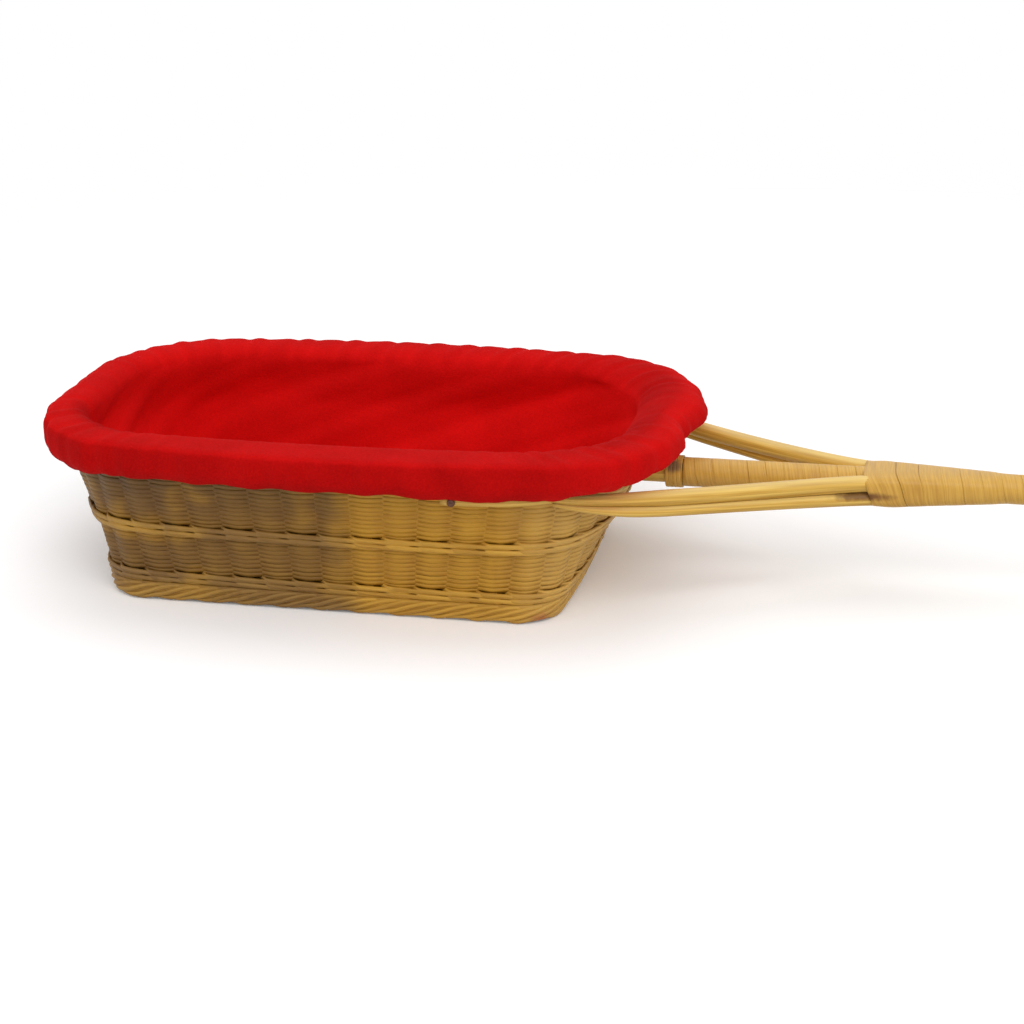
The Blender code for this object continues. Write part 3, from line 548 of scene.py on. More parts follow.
def twisted_ring(name, ring, look):
    """Strands that wind round a core rod as they go round the basket.

    Strand k's centre is at angle a = 2 pi (turns share + k / strands) of an ellipse about the core, and
    is lifted by the scallop times a raised cosine of the share where sin a is below 0. The ring follows
    the wall at one level, or leans with the wall where lean is 1.
    """
    rng = draws(name)
    strands = ring["strands"]
    share = np.arange(STAKE_COUNT * look.strand_steps) / (STAKE_COUNT * look.strand_steps)
    angle = TURN * (ring["turns"] * share[None, :] + np.arange(strands)[:, None] / strands)
    wind_out, wind_up = ring["winding"]
    offset = ring["offset"] + wind_out * np.cos(angle)
    scallop = ring["scallop"] * (0.5 - 0.5 * np.cos(TURN * look.scallops * share))
    z = ring["height"] + wind_up * np.sin(angle) + scallop * np.clip(-np.sin(angle), 0.0, 1.0)
    out, up = oval(look.strand_sides, *ring["strand"])
    strand_z = z[..., None] + up
    strand_level = ring["level"] + ring["lean"] * strand_z
    strand_rings = place(share[None, :, None], strand_level, offset[..., None] + out, strand_z)
    out, up = oval(look.strand_sides, *ring["core"])
    core_z = ring["height"] + ring["core_rise"] + up
    core_level = ring["level"] + ring["lean"] * core_z
    core_ring = place(share[None, :, None], core_level, ring["offset"] + out, core_z)
    tone = np.concatenate([patchy(rng, strands, share, STRAND_LENGTHS), np.zeros((1, share.size))])
    girth = TURN * max(ring["strand"])
    return loft(name, np.concatenate([strand_rings, core_ring]), True, girth, tone[..., None])


def base_rows(name, look):
    """The woven base: rows of flat willow along it over rows across it.

    A row's height follows a clipped cosine from stake to stake, neighbours half a wave apart, and
    its ends stop at the foot's outline.
    """
    rng = draws(name)
    shares = np.linspace(0.0, 1.0, BASE_EDGE_STEPS + 1)[:-1]
    edge = place(shares, np.zeros(1), np.full(1, -STAKE_THICKNESS - GAP), np.zeros(1))[:, :2]
    layers = []
    stake_pitch = FOOT[2] / STAKE_COUNT
    for axis, middle, swing in BASE_LAYERS:
        across = 1 - axis
        low, high = edge[:, across].min(), edge[:, across].max()
        rows = int((high - low) / look.base_pitch)
        at = low + (np.arange(rows) + 0.5) * (high - low) / rows
        order = np.argsort(edge[:, across])
        positive = order[edge[order, axis] > edge[:, axis].mean()]
        negative = order[edge[order, axis] <= edge[:, axis].mean()]
        far = np.interp(at, edge[positive, across], edge[positive, axis])
        near = np.interp(at, edge[negative, across], edge[negative, axis])
        t = np.linspace(0.0, 1.0, look.base_steps)
        along = near[:, None] + (far - near)[:, None] * t
        wave = np.cos(np.pi * (along / stake_pitch - 0.5 + np.arange(rows)[:, None]))
        z = middle + swing * np.clip(look.row_sharpness * wave, -1.0, 1.0)
        side, up = oval(look.weaver_sides, look.base_pitch / 2, look.base_half_thickness)
        rings = np.empty((rows, t.size, side.size, 3))
        rings[..., axis] = along[..., None]
        rings[..., across] = at[:, None, None] + side
        rings[..., 2] = z[..., None] + up
        layers.append(rings)
    tones = [rng.uniform(0.0, 1.0, (layer.shape[0], 1, 1)) * np.ones(layer.shape[:3]) for layer in layers]
    rings, tone = np.concatenate(layers), np.concatenate(tones)
    return loft(name, rings, False, 2 * look.base_pitch, tone)


def rod(name, path, radii, look):
    """A round rod along a path: rings across its direction, with domed ends.

    Each ring is the centre plus radius times the cosine of an angle across and its sine upwards.
    """
    direction = np.gradient(path, axis=0)
    direction /= np.linalg.norm(direction, axis=-1, keepdims=True)
    angle = np.linspace(DOME_START, np.pi / 2, DOME_RINGS + 1)[:-1]
    reach = ROD_DOME * (1 - np.sin(angle))[:, None]
    start = path[0] + direction[0] * radii[0] * reach
    finish = path[-1] - direction[-1] * radii[-1] * reach[::-1]
    inner = slice(DOME_SPAN, -DOME_SPAN)
    path = np.concatenate([start, path[inner], finish])
    first, last = np.repeat(direction[[0, -1]], DOME_RINGS, axis=0).reshape(2, DOME_RINGS, 3)
    direction = np.concatenate([first, direction[inner], last])
    radii = np.concatenate([radii[0] * np.sin(angle), radii[inner], radii[-1] * np.sin(angle[::-1])])
    across = np.cross(direction, [0.0, 0.0, 1.0])
    across /= np.linalg.norm(across, axis=-1, keepdims=True)
    upward = np.cross(across, direction)
    angle = np.arange(look.rod_sides) * TURN / look.rod_sides
    spread = np.cos(angle)[:, None] * across[:, None, :] + np.sin(angle)[:, None] * upward[:, None, :]
    rings = path[:, None, :] + spread * radii[:, None, None]
    return loft(name, rings[None], False, ROD_GIRTH)


def end_wall_x(z, offset):
    """Where the handle end's wall stands at a height, in the middle of its width."""
    return float(place(np.full(1, HANDLE_END), np.full(1, z), np.full(1, offset), np.full(1, z))[0, 0])


def leave_share():
    """The share at which the near wall has turned by the arm's leaving turn."""
    share = np.linspace(0.0, HANDLE_END, LEAVE_STEPS)
    along, _ = wall_directions(share, np.full(share.size, UPPER_ROD_Z))
    turned = np.arctan2(along[:, 1], along[:, 0]) >= ARM_LEAVE_TURN
    return float(share[np.argmax(turned)])


def arm_half_height(upper_radius, spacing):
    """Half the height of an upper and a lower rod, one on the other."""
    return (upper_radius + spacing + (spacing - GAP - upper_radius)) / 2


def arm_paths(look):
    """Centres and radii of the near arm's upper and lower rod.

    The upper rod lies along the wall, then follows a cubic curve between two points and two pulls to
    the junction, sinking by the cube of what is left of the way. The lower rod lies outside and below
    it, turning to straight below at the junction, and grows from a pared tip. Both end in a thin scarf
    along the pole.
    """
    leave = leave_share()
    start = TACK_STAKE_SPACE / STAKE_COUNT - ARM_END_STANDOUT / TOP[2]
    share = np.linspace(start, leave, look.arm_wall_steps)
    level = np.full(share.size, UPPER_ROD_Z)
    _, out = wall_directions(share, level)
    lean = on_outline(TOP, share) - on_outline(FOOT, share)
    slope = np.einsum("ij,ij->i", lean, out) / WALL_TOP
    on_wall = place(share, level, (UPPER_ROD_WALL_RADIUS + GAP) * np.sqrt(1 + slope ** 2), level)

    along, _ = wall_directions(np.full(1, leave), np.full(1, UPPER_ROD_Z))
    t = np.linspace(0.0, 1.0, look.arm_free_steps)[:, None]
    begin = on_wall[-1, :2]
    end = np.array([JUNCTION, -(WRAP_BORE + UPPER_ROD_RADIUS)])
    reach = np.linalg.norm(end - begin)
    leaving = ARM_LEAVE_PULL * reach * along[0]
    joining = ARM_JOIN_PULL * reach * np.array([1.0, 0.0])
    flat = (2 * t ** 3 - 3 * t ** 2 + 1) * begin + (t ** 3 - 2 * t ** 2 + t) * leaving
    flat = flat + (3 * t ** 2 - 2 * t ** 3) * end + (t ** 3 - t ** 2) * joining
    half_height = arm_half_height(UPPER_ROD_RADIUS, ROD_SPACING)
    end_z = POLE_HEIGHT + half_height - UPPER_ROD_RADIUS
    z = end_z + (UPPER_ROD_Z - end_z) * (1 - t) ** ARM_DROP_POWER
    free = np.concatenate([flat, z], axis=1)
    swell = np.minimum(t[:, 0] / SWELL_SHARE, 1.0)
    free_radii = UPPER_ROD_WALL_RADIUS + (UPPER_ROD_RADIUS - UPPER_ROD_WALL_RADIUS) * swell
    tilt = ARM_TILT * (1 - t[:, 0])
    growth = look.lower_tip + (1 - look.lower_tip) * smooth_step(0.0, look.lower_tip_reach, t[:, 0])
    swelling = smooth_step(*LOWER_ROD_SWELL_SPAN, t[:, 0])
    lower_free = LOWER_ROD_RADIUS * growth + (look.lower_root - LOWER_ROD_RADIUS) * swelling
    spacing = free_radii + lower_free - look.rod_press
    lower = free - np.stack([np.zeros(tilt.size), spacing * np.sin(tilt), spacing * np.cos(tilt)], axis=1)

    scarf = np.linspace(0.0, 1.0, look.arm_scarf_steps)[1:, None]
    scarf_half = arm_half_height(UPPER_SCARF_RADIUS, SCARF_SPACING)
    upper_z = POLE_HEIGHT + scarf_half - UPPER_SCARF_RADIUS
    upper_tip = np.array([SCARF_END, -(WRAP_BORE + UPPER_SCARF_RADIUS), upper_z])
    lower_tip = upper_tip - np.array([0.0, 0.0, SCARF_SPACING])
    upper_path = np.concatenate([on_wall[:-1], free, free[-1] + (upper_tip - free[-1]) * scarf])
    thin = UPPER_ROD_RADIUS + (UPPER_SCARF_RADIUS - UPPER_ROD_RADIUS) * scarf[:, 0]
    upper_radii = np.concatenate([np.full(len(on_wall) - 1, UPPER_ROD_WALL_RADIUS), free_radii, thin])
    lower_path = np.concatenate([lower, lower[-1] + (lower_tip - lower[-1]) * scarf])
    thin = look.lower_root + (LOWER_SCARF_RADIUS - look.lower_root) * scarf[:, 0]
    lower_radii = np.concatenate([lower_free, thin])
    return (upper_path, upper_radii), (lower_path, lower_radii)


def wound_cane(name, start, end, width, thickness, core, look, lead=0.0):
    """Cane wound edge to edge round a core whose half width, half height, squareness and sink vary along X.

    The strip's middle is at x = start + width (1/2 + turn), and its first and last turn are trimmed level.
    At angle a, the point across the strip has y = |cos a|^(2/n) (half width + h) and
    z = |sin a|^(2/n) (half height + h) - sink, with h the crowned depth. Over the lead the strip grows
    from a thin start to its full thickness, and its first turns slant: x less the slant times the height
    above the pole's middle.
    """
    rng = draws(name)
    turns = (end - start - width) / width
    trimmed = look.trimmed_turn
    turn = np.linspace(-trimmed, turns + trimmed, int((turns + 2 * trimmed) * look.turn_steps) + 1)
    depth = STRIP_DEPTHS * thickness
    knots = np.arange(-1, int(turns) + 3)
    wobble = look.cane_wobble * np.interp(turn, knots, rng.uniform(-1, 1, knots.size))
    x = start + width * (0.5 + turn + wobble)[:, None] + STRIP_PLACES * width * look.cane_cover
    x = np.clip(x, start, end)
    angle = (TURN * turn + look.cane_start)[:, None]
    stations, half_widths, half_heights, squareness, sinks = core
    if lead > 0:
        depth = depth * (look.thin_start + (1 - look.thin_start) * smooth_step(start, start + lead, x))
    power = 2 / np.interp(x, stations, squareness)
    half_y = np.interp(x, stations, half_widths) + depth
    half_z = np.interp(x, stations, half_heights) + depth
    cosine, sine = np.cos(angle), np.sin(angle)
    y = np.sign(cosine) * np.abs(cosine) ** power * half_y
    z = POLE_HEIGHT + np.sign(sine) * np.abs(sine) ** power * half_z - np.interp(x, stations, sinks)
    if lead > 0:
        slanted = 1 - smooth_step(start, start + look.grip_slant_reach, x)
        x = x - look.grip_slant * (z - POLE_HEIGHT) * slanted
    tone = np.interp(turn, knots, rng.uniform(0, 1, knots.size))
    return loft(name, np.stack([x, y, z], -1)[None], False, 2 * width, tone[None, :, None])


def plain_core(start, end):
    """A core for winding that is the round pole from start to end."""
    return (start, end), (WRAP_BORE, WRAP_BORE), (WRAP_BORE, WRAP_BORE), (ROUND, ROUND), (0.0, 0.0)


def bundle_core(look):
    """The core under the grip's winding: pole and side rods, the pole with their scarfs, then the pole."""
    full_width = WRAP_BORE + 2 * UPPER_ROD_RADIUS
    above = arm_half_height(UPPER_ROD_RADIUS, ROD_SPACING)
    below = 2 * (UPPER_ROD_RADIUS + look.lower_root) - look.rod_press - above
    full_height, sink = (above + below) / 2, (below - above) / 2
    scarf_width = WRAP_BORE + 2 * UPPER_SCARF_RADIUS
    scarf_height = max(arm_half_height(UPPER_SCARF_RADIUS, SCARF_SPACING), WRAP_BORE)
    stations = (WRAP_START, JUNCTION, SCARF_END, SCARF_END + WRAP_BLEND, END_BINDING_X)
    widths = (full_width + look.mouth, full_width, scarf_width, WRAP_BORE, WRAP_BORE)
    heights = (full_height, full_height, scarf_height, WRAP_BORE, WRAP_BORE)
    squares = (look.bundle_squareness, look.bundle_squareness, SCARF_SQUARENESS, ROUND, ROUND)
    return stations, widths, heights, squares, (sink, sink, 0.0, 0.0, 0.0)


def turned(name, base, out, profile, sides):
    """A turned piece: at each distance along a level direction, a circle of that radius."""
    across = np.cross(out, [0.0, 0.0, 1.0])
    across /= np.linalg.norm(across)
    upward = np.cross(across, out)
    profile = np.asarray(profile)
    angle = np.arange(sides) * TURN / sides
    spread = np.cos(angle)[:, None] * across + np.sin(angle)[:, None] * upward
    rings = base + out * profile[:, 0, None, None] + spread[None] * profile[:, 1, None, None]
    return loft(name, rings[None], False, TURNED_GIRTH)


def pole_profile():
    """Distances along the handle and radii of the pole: tenon, shoulder at the wall, shaft, round end."""
    tip = end_wall_x(POLE_HEIGHT, WEAVE_BACK - TENON_STANDOUT)
    shoulder = end_wall_x(POLE_HEIGHT, GAP)
    first, last = POLE_SHAFT_SPAN
    shaft = np.linspace(shoulder + first, POLE_END - last, POLE_SHAFT_RINGS)
    angle = np.linspace(0.0, np.pi / 2, POLE_ROUNDING_RINGS)
    steps = [
        (tip, TENON_TIP_RADIUS),
        (tip + POLE_BEVEL, TENON_RADIUS),
        (shoulder, TENON_RADIUS),
        (shoulder, POLE_RADIUS - POLE_BEVEL),
        (shoulder + POLE_BEVEL, POLE_RADIUS),
    ]
    rounding = np.stack([np.sin(angle) - 1, np.cos(angle) - 1], axis=1) * POLE_ROUNDING
    end = np.array([POLE_END, POLE_RADIUS]) + rounding
    return np.concatenate([steps, np.stack([shaft, np.full(shaft.size, POLE_RADIUS)], axis=1), end])


def tack_profile():
    """Distances out of the wall and radii of a tack: its shank, its head's rim and the domed head."""
    head = UPPER_ROD_WALL_RADIUS * 2 + GAP * 2
    rim = head + TACK_RIM
    profile = [(-TACK_DEPTH, TACK_SHANK_RADIUS), (head, TACK_SHANK_RADIUS)]
    profile += [(head, TACK_HEAD_RADIUS * TACK_RIM_SHARE), (rim, TACK_HEAD_RADIUS)]
    height = TACK_HEAD_THICKNESS - TACK_RIM
    return profile + [(rim + height * math.sin(a), TACK_HEAD_RADIUS * math.cos(a)) for a in TACK_DOME_ANGLES]


def surface_normals(face):
    """Unit normals of a grid that closes on itself along its first axis, from central differences."""
    along = np.roll(face, -1, axis=0) - np.roll(face, 1, axis=0)
    up = np.gradient(face, axis=1)
    normal = np.cross(along, up)
    return normal / np.linalg.norm(normal, axis=-1, keepdims=True)


def bell(value, middle, spread):
    """1 at the middle, falling to both sides as e to the minus square of the distance over the spread."""
    return np.exp(-((value - middle) / spread) ** 2)


def waves(at, table):
    """A sum of sines: size times the sine of (count at + phase + sway sin(sways at)), in turns."""
    return sum(
        size * np.sin(TURN * (count * at + phase + sway * np.sin(TURN * sways * at)))
        for size, count, phase, sway, sways in table
    )


def corner_window(share, look):
    """Near 1 at the four rounded corners and near 0 along the straights.

    The place in a quarter is mirrored in every second quarter, and the window is a bell about a corner.
    """
    quarter = np.mod(share, 0.25) * 4
    mirrored = np.where(np.mod(np.floor(share * 4), 2) == 0, quarter, 1 - quarter)
    return bell(mirrored, look.corner_place, look.corner_spread)


def roll_section(inner, outer, share, out, facing, look):
    """The roll's points, its angle, and how far across and up each point is, from -1 to 1.

    The angle a falls from pi at the inner edge to the hem. A point lies between the two edges by
    |cos a|^(2/n) and up by |sin a|^(2/n), with n the squareness of the inner lip, of the outer fold and of
    the tucked lower half, each blended from side to side. Then the hem is drawn in and lifted and the top
    sunk, each by its weight, and two bells draw in the notch at the handle and the far corner.
    """
    near, far, end, far_end = facing
    fold = look.end_fold + (look.near_fold - look.end_fold) * near + (look.far_fold - look.end_fold) * far
    lip = look.lip_squareness + (look.end_lip - look.lip_squareness) * smooth_step(*LIP_SPAN, end)
    angle = np.linspace(np.pi, look.hem_angle, look.roll_rows)[None, :]
    cosine, sine = np.cos(angle), np.sin(angle)
    top = np.where(cosine > 0, fold, lip)
    power = 2 / np.where(sine > 0, top, ROUND + (look.tuck_squareness - ROUND) * end)
    across = np.sign(cosine) * np.abs(cosine) ** power
    upward = np.sign(sine) * np.abs(sine) ** np.where(sine > 0, power, 1.0)
    roll = (inner + outer) / 2 + (outer - inner) / 2 * across[..., None]

    under, over = np.clip(-upward, 0.0, 1.0), np.clip(upward, 0.0, 1.0)
    pulled = look.notch_depth * bell(share, look.notch_place, look.notch_spread)
    pulled = pulled + look.chamfer_depth * bell(share, look.chamfer_place, look.chamfer_spread)
    drawn_in = (look.end_tuck * end - look.far_end_ease * far_end) * under
    drawn_in += pulled * smooth_step(*DRAWN_IN_SPAN, across)
    roll[..., :2] -= out * drawn_in[..., None]
    along_x = outer[..., 0]
    lifted = near * smooth_step(*LIFT_SPAN, along_x) * (1 - smooth_step(*LIFT_END_SPAN, along_x))
    lift = look.end_lift * end + look.near_lift * lifted
    sink = look.far_sink * far + look.near_sink * near
    roll[..., 2] = ROLL_Z + ROLL_HALF_HEIGHT * (upward + lift * under - sink * over)
    return roll, angle, across, upward


def liner_face(share, look):
    """The liner's visible face and its tone: up the inside, over the roll and down to the hem, at each share.

    The inside follows the wall at a fixed offset up to the shoulder and bends inwards to the roll, which
    ends at the rim's own outline. Folds, gathers and ripples are sums of sines of the share and the height,
    each inside a smooth window. The tone holds painted light and shade: the inside's is raised against the
    shade that falls there, the roll's is brighter on its fold by a painted highlight and darker below it by
    painted shade on the hem, and the folds and gathers are lighter and darker by painted light and shade.
    The roll is also darker on the slope that faces the inside at the handle and at the near far-end corner.
    """
    share = share[:, None]
    one = np.full((1, 1), 1.0)
    inside = BAG_FACE - CLOTH
    shoulder = WALL_TOP - BAG_SHOULDER_DROP
    _, out = wall_directions(share, one * WALL_TOP)
    facing = [np.clip(side, 0.0, 1.0) for side in (-out[..., 1], out[..., 1], out[..., 0], -out[..., 0])]
    near, far, end, far_end = facing
    corner = 2 * near * far_end
    inner_offset = look.roll_inner_offset + look.end_inner * np.clip(end + corner, 0.0, 1.0)
    low_z = np.linspace(BAG_Z + GAP, shoulder, look.liner_side_rows)[None, :]
    low = place(share, low_z, one * inside, low_z)

    blend = np.linspace(0.0, 1.0, look.liner_neck_rows)[None, 1:-1]
    neck_z = shoulder + (ROLL_Z - shoulder) * blend
    neck_offset = inside + (inner_offset - inside) * smooth_step(0.0, 1.0, blend)
    neck = place(share, np.minimum(neck_z, WALL_TOP), neck_offset, neck_z)

    inner = place(share, one * WALL_TOP, inner_offset, one * ROLL_Z)
    corner_radius, side_bow, end_bow = look.rim_corner, look.rim_side_bow, look.rim_end_bow
    rim = outline(look.rim_length, look.rim_width, corner_radius, side_bow, end_bow, look.rim_lean)
    outer = np.concatenate([on_outline(rim, share), np.full(share.shape + (1,), ROLL_Z)], axis=-1)
    roll, angle, across, upward = roll_section(inner, outer, share, out, facing, look)
    face = np.concatenate([low, neck, roll], axis=1)

    def on_roll_only(values):
        """Values for the roll's rows, and 0 on the rows below it."""
        return np.concatenate([np.zeros((face.shape[0], face.shape[1] - look.roll_rows)), values], axis=1)

    row = np.arange(face.shape[1])
    roll_row = row - (row.size - look.roll_rows)
    on_side = smooth_step(*BOTTOM_ROWS, row) * (1 - smooth_step(*NECK_ROWS, roll_row))
    on_roll = smooth_step(*ROLL_ROWS, roll_row)
    folds = waves(share + face[..., 2] / look.fold_lean, FOLDS)
    gathered = np.maximum(corner_window(share, look), look.gather_far * far)
    gathers = waves(share, GATHERS) * (look.gather_plain + (1 - look.gather_plain) * gathered)
    swell = look.fold_depth * folds * on_side + look.gather_depth * gathers * on_roll
    face = face + swell[..., None] * surface_normals(face)
    ripple = look.rim_ripple * waves(share, RIPPLES) * on_roll_only(smooth_step(*RIM_SPAN, across))
    face[..., :2] += out * ripple[..., None]
    face[..., 2] += look.hem_scallop * waves(share, HEM_WAVES) * on_roll_only(smooth_step(0.0, 1.0, -upward))

    # Painted light: the inside's tone is raised against the shade that falls inside the basket
    tone = look.inside_tone + (look.band_tone - look.inside_tone) * smooth_step(*BAND_ROWS, roll_row)
    # Painted shade on the hem's face below the fold, and a painted highlight along the fold at the ends
    below = smooth_step(0.0, 1.0, (look.crest_angle - angle) / look.crest_spread)
    hem_shade = look.hem_shade_tone * below * (1 - look.end_hem_tone * smooth_step(*END_HEM_SPAN, end))
    crest_highlight = look.crest_highlight_tone * bell(angle, look.crest_angle, look.crest_spread) * (1 - near)
    tone = tone + on_roll_only(crest_highlight - hem_shade)
    tone = tone + look.end_band_tone * smooth_step(*END_BAND_SPAN, np.abs(out[..., 0])) * on_roll
    slope = on_roll_only(1 - smooth_step(*SLOPE_SPAN, across))
    near_slope = on_roll_only(1 - smooth_step(*NEAR_SLOPE_SPAN, across))
    dark_slope = slope * smooth_step(*END_SLOPE_SPAN, end)
    dark_slope = dark_slope + near_slope * smooth_step(*CORNER_SLOPE_SPAN, corner)
    tone = tone + (look.far_band_tone * far * (1 - end) * slope - look.slope_tone * dark_slope) * on_roll
    # Painted light and shade along the folds and gathers
    tone = tone + look.fold_light_tone * (folds * on_side + GATHER_LIGHT_SHARE * gathers * on_roll)
    return face, np.clip(tone, 0.0, 1.0)


def cloth_ring(name, face, thickness, tone):
    """A closed cloth ring from its visible face: the face and, a thickness behind it, the face reversed."""
    back = face - surface_normals(face) * thickness
    rings = np.concatenate([face, back[:, ::-1]], axis=1)
    return loft(name, rings[None], True, LINER_GIRTH, np.concatenate([tone, tone[..., ::-1]], axis=-1)[None])


def liner_floor(name, look):
    """The liner's bottom: a panel with a slight dome, from near its middle out to its edge and back under.

    Its height is the dome times 1 - r^2 plus puckers, a sine of the share that grows towards the seam.
    """
    columns = look.liner_columns // 2
    share = np.arange(columns) / columns
    rim = place(share, np.full(1, BAG_Z), np.full(1, BAG_FACE - CLOTH - GAP), np.full(1, BAG_Z))
    middle = rim.mean(axis=0)
    radius = np.linspace(FLOOR_MIDDLE, 1.0, look.floor_rings)[:, None]
    pucker = look.pucker * waves(share, PUCKERS)[None, :] * radius ** PUCKER_POWER
    flat = middle[:2] + (rim[None, :, :2] - middle[:2]) * radius[..., None]
    top = BAG_Z + CLOTH + look.floor_dome * (1 - radius ** 2) + pucker * (1 - radius ** SEAM_POWER)
    under = np.full(top.shape, BAG_Z)
    upper = np.concatenate([flat, top[..., None]], axis=-1)
    lower = np.concatenate([flat, under[..., None]], axis=-1)
    return loft(name, np.concatenate([upper, lower[::-1]])[None], False, FLOOR_GIRTH)


def feed(tree, node, inputs):
    """Set a node's inputs, each to a value or to the output socket that it takes its value from."""
    for socket, value in inputs.items():
        if isinstance(value, bpy.types.NodeSocket):
            tree.links.new(value, node.inputs[socket])
        else:
            node.inputs[socket].default_value = value


def add_node(tree, kind, inputs=None, **settings):
    """A shader node with its inputs and its other settings."""
    made = tree.nodes.new(kind)
    for setting, value in settings.items():
        setattr(made, setting, value)
    feed(tree, made, inputs or {})
    return made


def blend_colours(tree, share, first, second, mode="MIX"):
    """A mix of two colours by a share, as an output socket; a colour is three numbers or a socket."""
    inputs = {0: share}
    for socket, colour in ((6, first), (7, second)):
        inputs[socket] = colour if isinstance(colour, bpy.types.NodeSocket) else (*colour, 1.0)
    return add_node(tree, "ShaderNodeMix", inputs, data_type="RGBA", blend_type=mode).outputs[2]


def calculate(tree, operation, *values):
    """One step of arithmetic on numbers, as an output socket."""
    return add_node(tree, "ShaderNodeMath", dict(enumerate(values)), operation=operation).outputs[0]


def times(tree, first, second):
    """The product of two numbers."""
    return calculate(tree, "MULTIPLY", first, second)


def plus(tree, first, second):
    """The sum of two numbers."""
    return calculate(tree, "ADD", first, second)


def minus(tree, first, second):
    """The first number less the second."""
    return calculate(tree, "SUBTRACT", first, second)


def ramp_between(tree, value, low, high):
    """A value spread smoothly from 0 at low to 1 at high."""
    inputs = {"Value": value, "From Min": low, "From Max": high}
    return add_node(tree, "ShaderNodeMapRange", inputs, interpolation_type="SMOOTHSTEP").outputs[0]


def object_place(tree):
    """The Object coordinates, as an output socket."""
    return add_node(tree, "ShaderNodeTexCoord").outputs["Object"]


def noise(tree, at, scale=1.0, detail=3.0):
    """A noise from about 0 to 1 at a place, as an output socket."""
    return add_node(tree, "ShaderNodeTexNoise", {"Vector": at, "Scale": scale, "Detail": detail}).outputs[0]


def from_middle(tree, value, reach):
    """How far a noise is from its middle value of a half, times a reach."""
    return times(tree, minus(tree, value, 0.5), reach)


def relief(tree, height, strength, distance):
    """The normal of a bumpy surface, as an output socket."""
    inputs = {"Height": height, "Strength": strength, "Distance": distance}
    return add_node(tree, "ShaderNodeBump", inputs).outputs[0]


def new_group(name, inputs, outputs):
    """An empty shader node group with named inputs and outputs, and its two end nodes."""
    group = bpy.data.node_groups.new(name, "ShaderNodeTree")
    for label, kind, value in inputs:
        socket = group.interface.new_socket(label, in_out="INPUT", socket_type=kind)
        socket.default_value = value
    for label, kind in outputs:
        group.interface.new_socket(label, in_out="OUTPUT", socket_type=kind)
    return group, group.nodes.new("NodeGroupInput"), group.nodes.new("NodeGroupOutput")


def use_group(tree, group, **inputs):
    """A node that holds a group, with the group's inputs given by their names in small."""
    named = {name.capitalize(): value for name, value in inputs.items()}
    return add_node(tree, "ShaderNodeGroup", named, node_tree=group)


def fibre_group():
    """Long fibres and small marks that follow a strand's UV, in metres along and round it."""
    inputs = (
        ("Along", "NodeSocketFloat", 40.0),
        ("Round", "NodeSocketFloat", 900.0),
    )
    outputs = (("Fibre", "NodeSocketFloat"), ("Mark", "NodeSocketFloat"))
    group, start, end = new_group("Willow fibre", inputs, outputs)
    uv = add_node(group, "ShaderNodeUVMap", uv_map="Along")
    parts = add_node(group, "ShaderNodeSeparateXYZ", {0: uv.outputs[0]})
    along = times(group, parts.outputs[0], start.outputs["Along"])
    round_it = times(group, parts.outputs[1], start.outputs["Round"])
    spot = add_node(group, "ShaderNodeCombineXYZ", {0: along, 1: round_it}).outputs[0]
    slow = add_node(group, "ShaderNodeVectorMath", {0: spot, 1: MARK_STRETCH}, operation="MULTIPLY")
    group.links.new(noise(group, spot), end.inputs["Fibre"])
    group.links.new(noise(group, slow.outputs[0], detail=2.0), end.inputs["Mark"])
    return group


def age_and_shade_group(blotch):
    """How far the willow has darkened away from the handle, with painted shade high on the wall under the
    roll, and how far it is paler near it.

    Two places on the dark end have kept their light colour, and so have small patches of a noise.
    """
    inputs = (
        ("Edge", "NodeSocketFloat", 0.019),
        ("Softness", "NodeSocketFloat", 0.008),
        ("Patches", "NodeSocketFloat", 0.35),
    )
    outputs = (("Age", "NodeSocketFloat"), ("Paler", "NodeSocketFloat"))
    group, start, end = new_group("Willow age", inputs, outputs)
    edge, softness = start.outputs["Edge"], start.outputs["Softness"]
    spot = object_place(group)
    parts = add_node(group, "ShaderNodeSeparateXYZ", {0: spot})
    place_x = plus(group, parts.outputs[0], from_middle(group, noise(group, spot, scale=26.0), AGE_WAVER))
    near_end = ramp_between(group, place_x, minus(group, edge, softness), plus(group, edge, softness))
    clear = ramp_between(group, noise(group, spot, scale=34.0, detail=2.0), *PATCH_SPAN)
    kept = minus(group, 1.0, times(group, clear, start.outputs["Patches"]))
    # Painted shade: the wall is darker high up, under the liner's roll
    under_roll_shade = ramp_between(group, parts.outputs[2], *UNDER_ROLL_SHADE_SPAN)
    far_left = ramp_between(group, parts.outputs[0], *FAR_SPAN)
    depth = plus(group, times(group, plus(group, under_roll_shade, far_left), AGE_AND_SHADE_ADDED), AGE_EVERYWHERE)
    age_and_shade = times(group, times(group, minus(group, 1.0, near_end), kept), depth)
    for centre, size in LIGHT_PLACES:
        mask = use_group(group, blotch, centre=centre, size=size).outputs["Mask"]
        age_and_shade = times(group, age_and_shade, minus(group, 1.0, times(group, mask, LIGHT_PLACE_STRENGTH)))
    group.links.new(age_and_shade, end.inputs["Age"])
    # How far the wicker is paler towards the handle end
    group.links.new(ramp_between(group, place_x, *PALER_SPAN), end.inputs["Paler"])
    return group


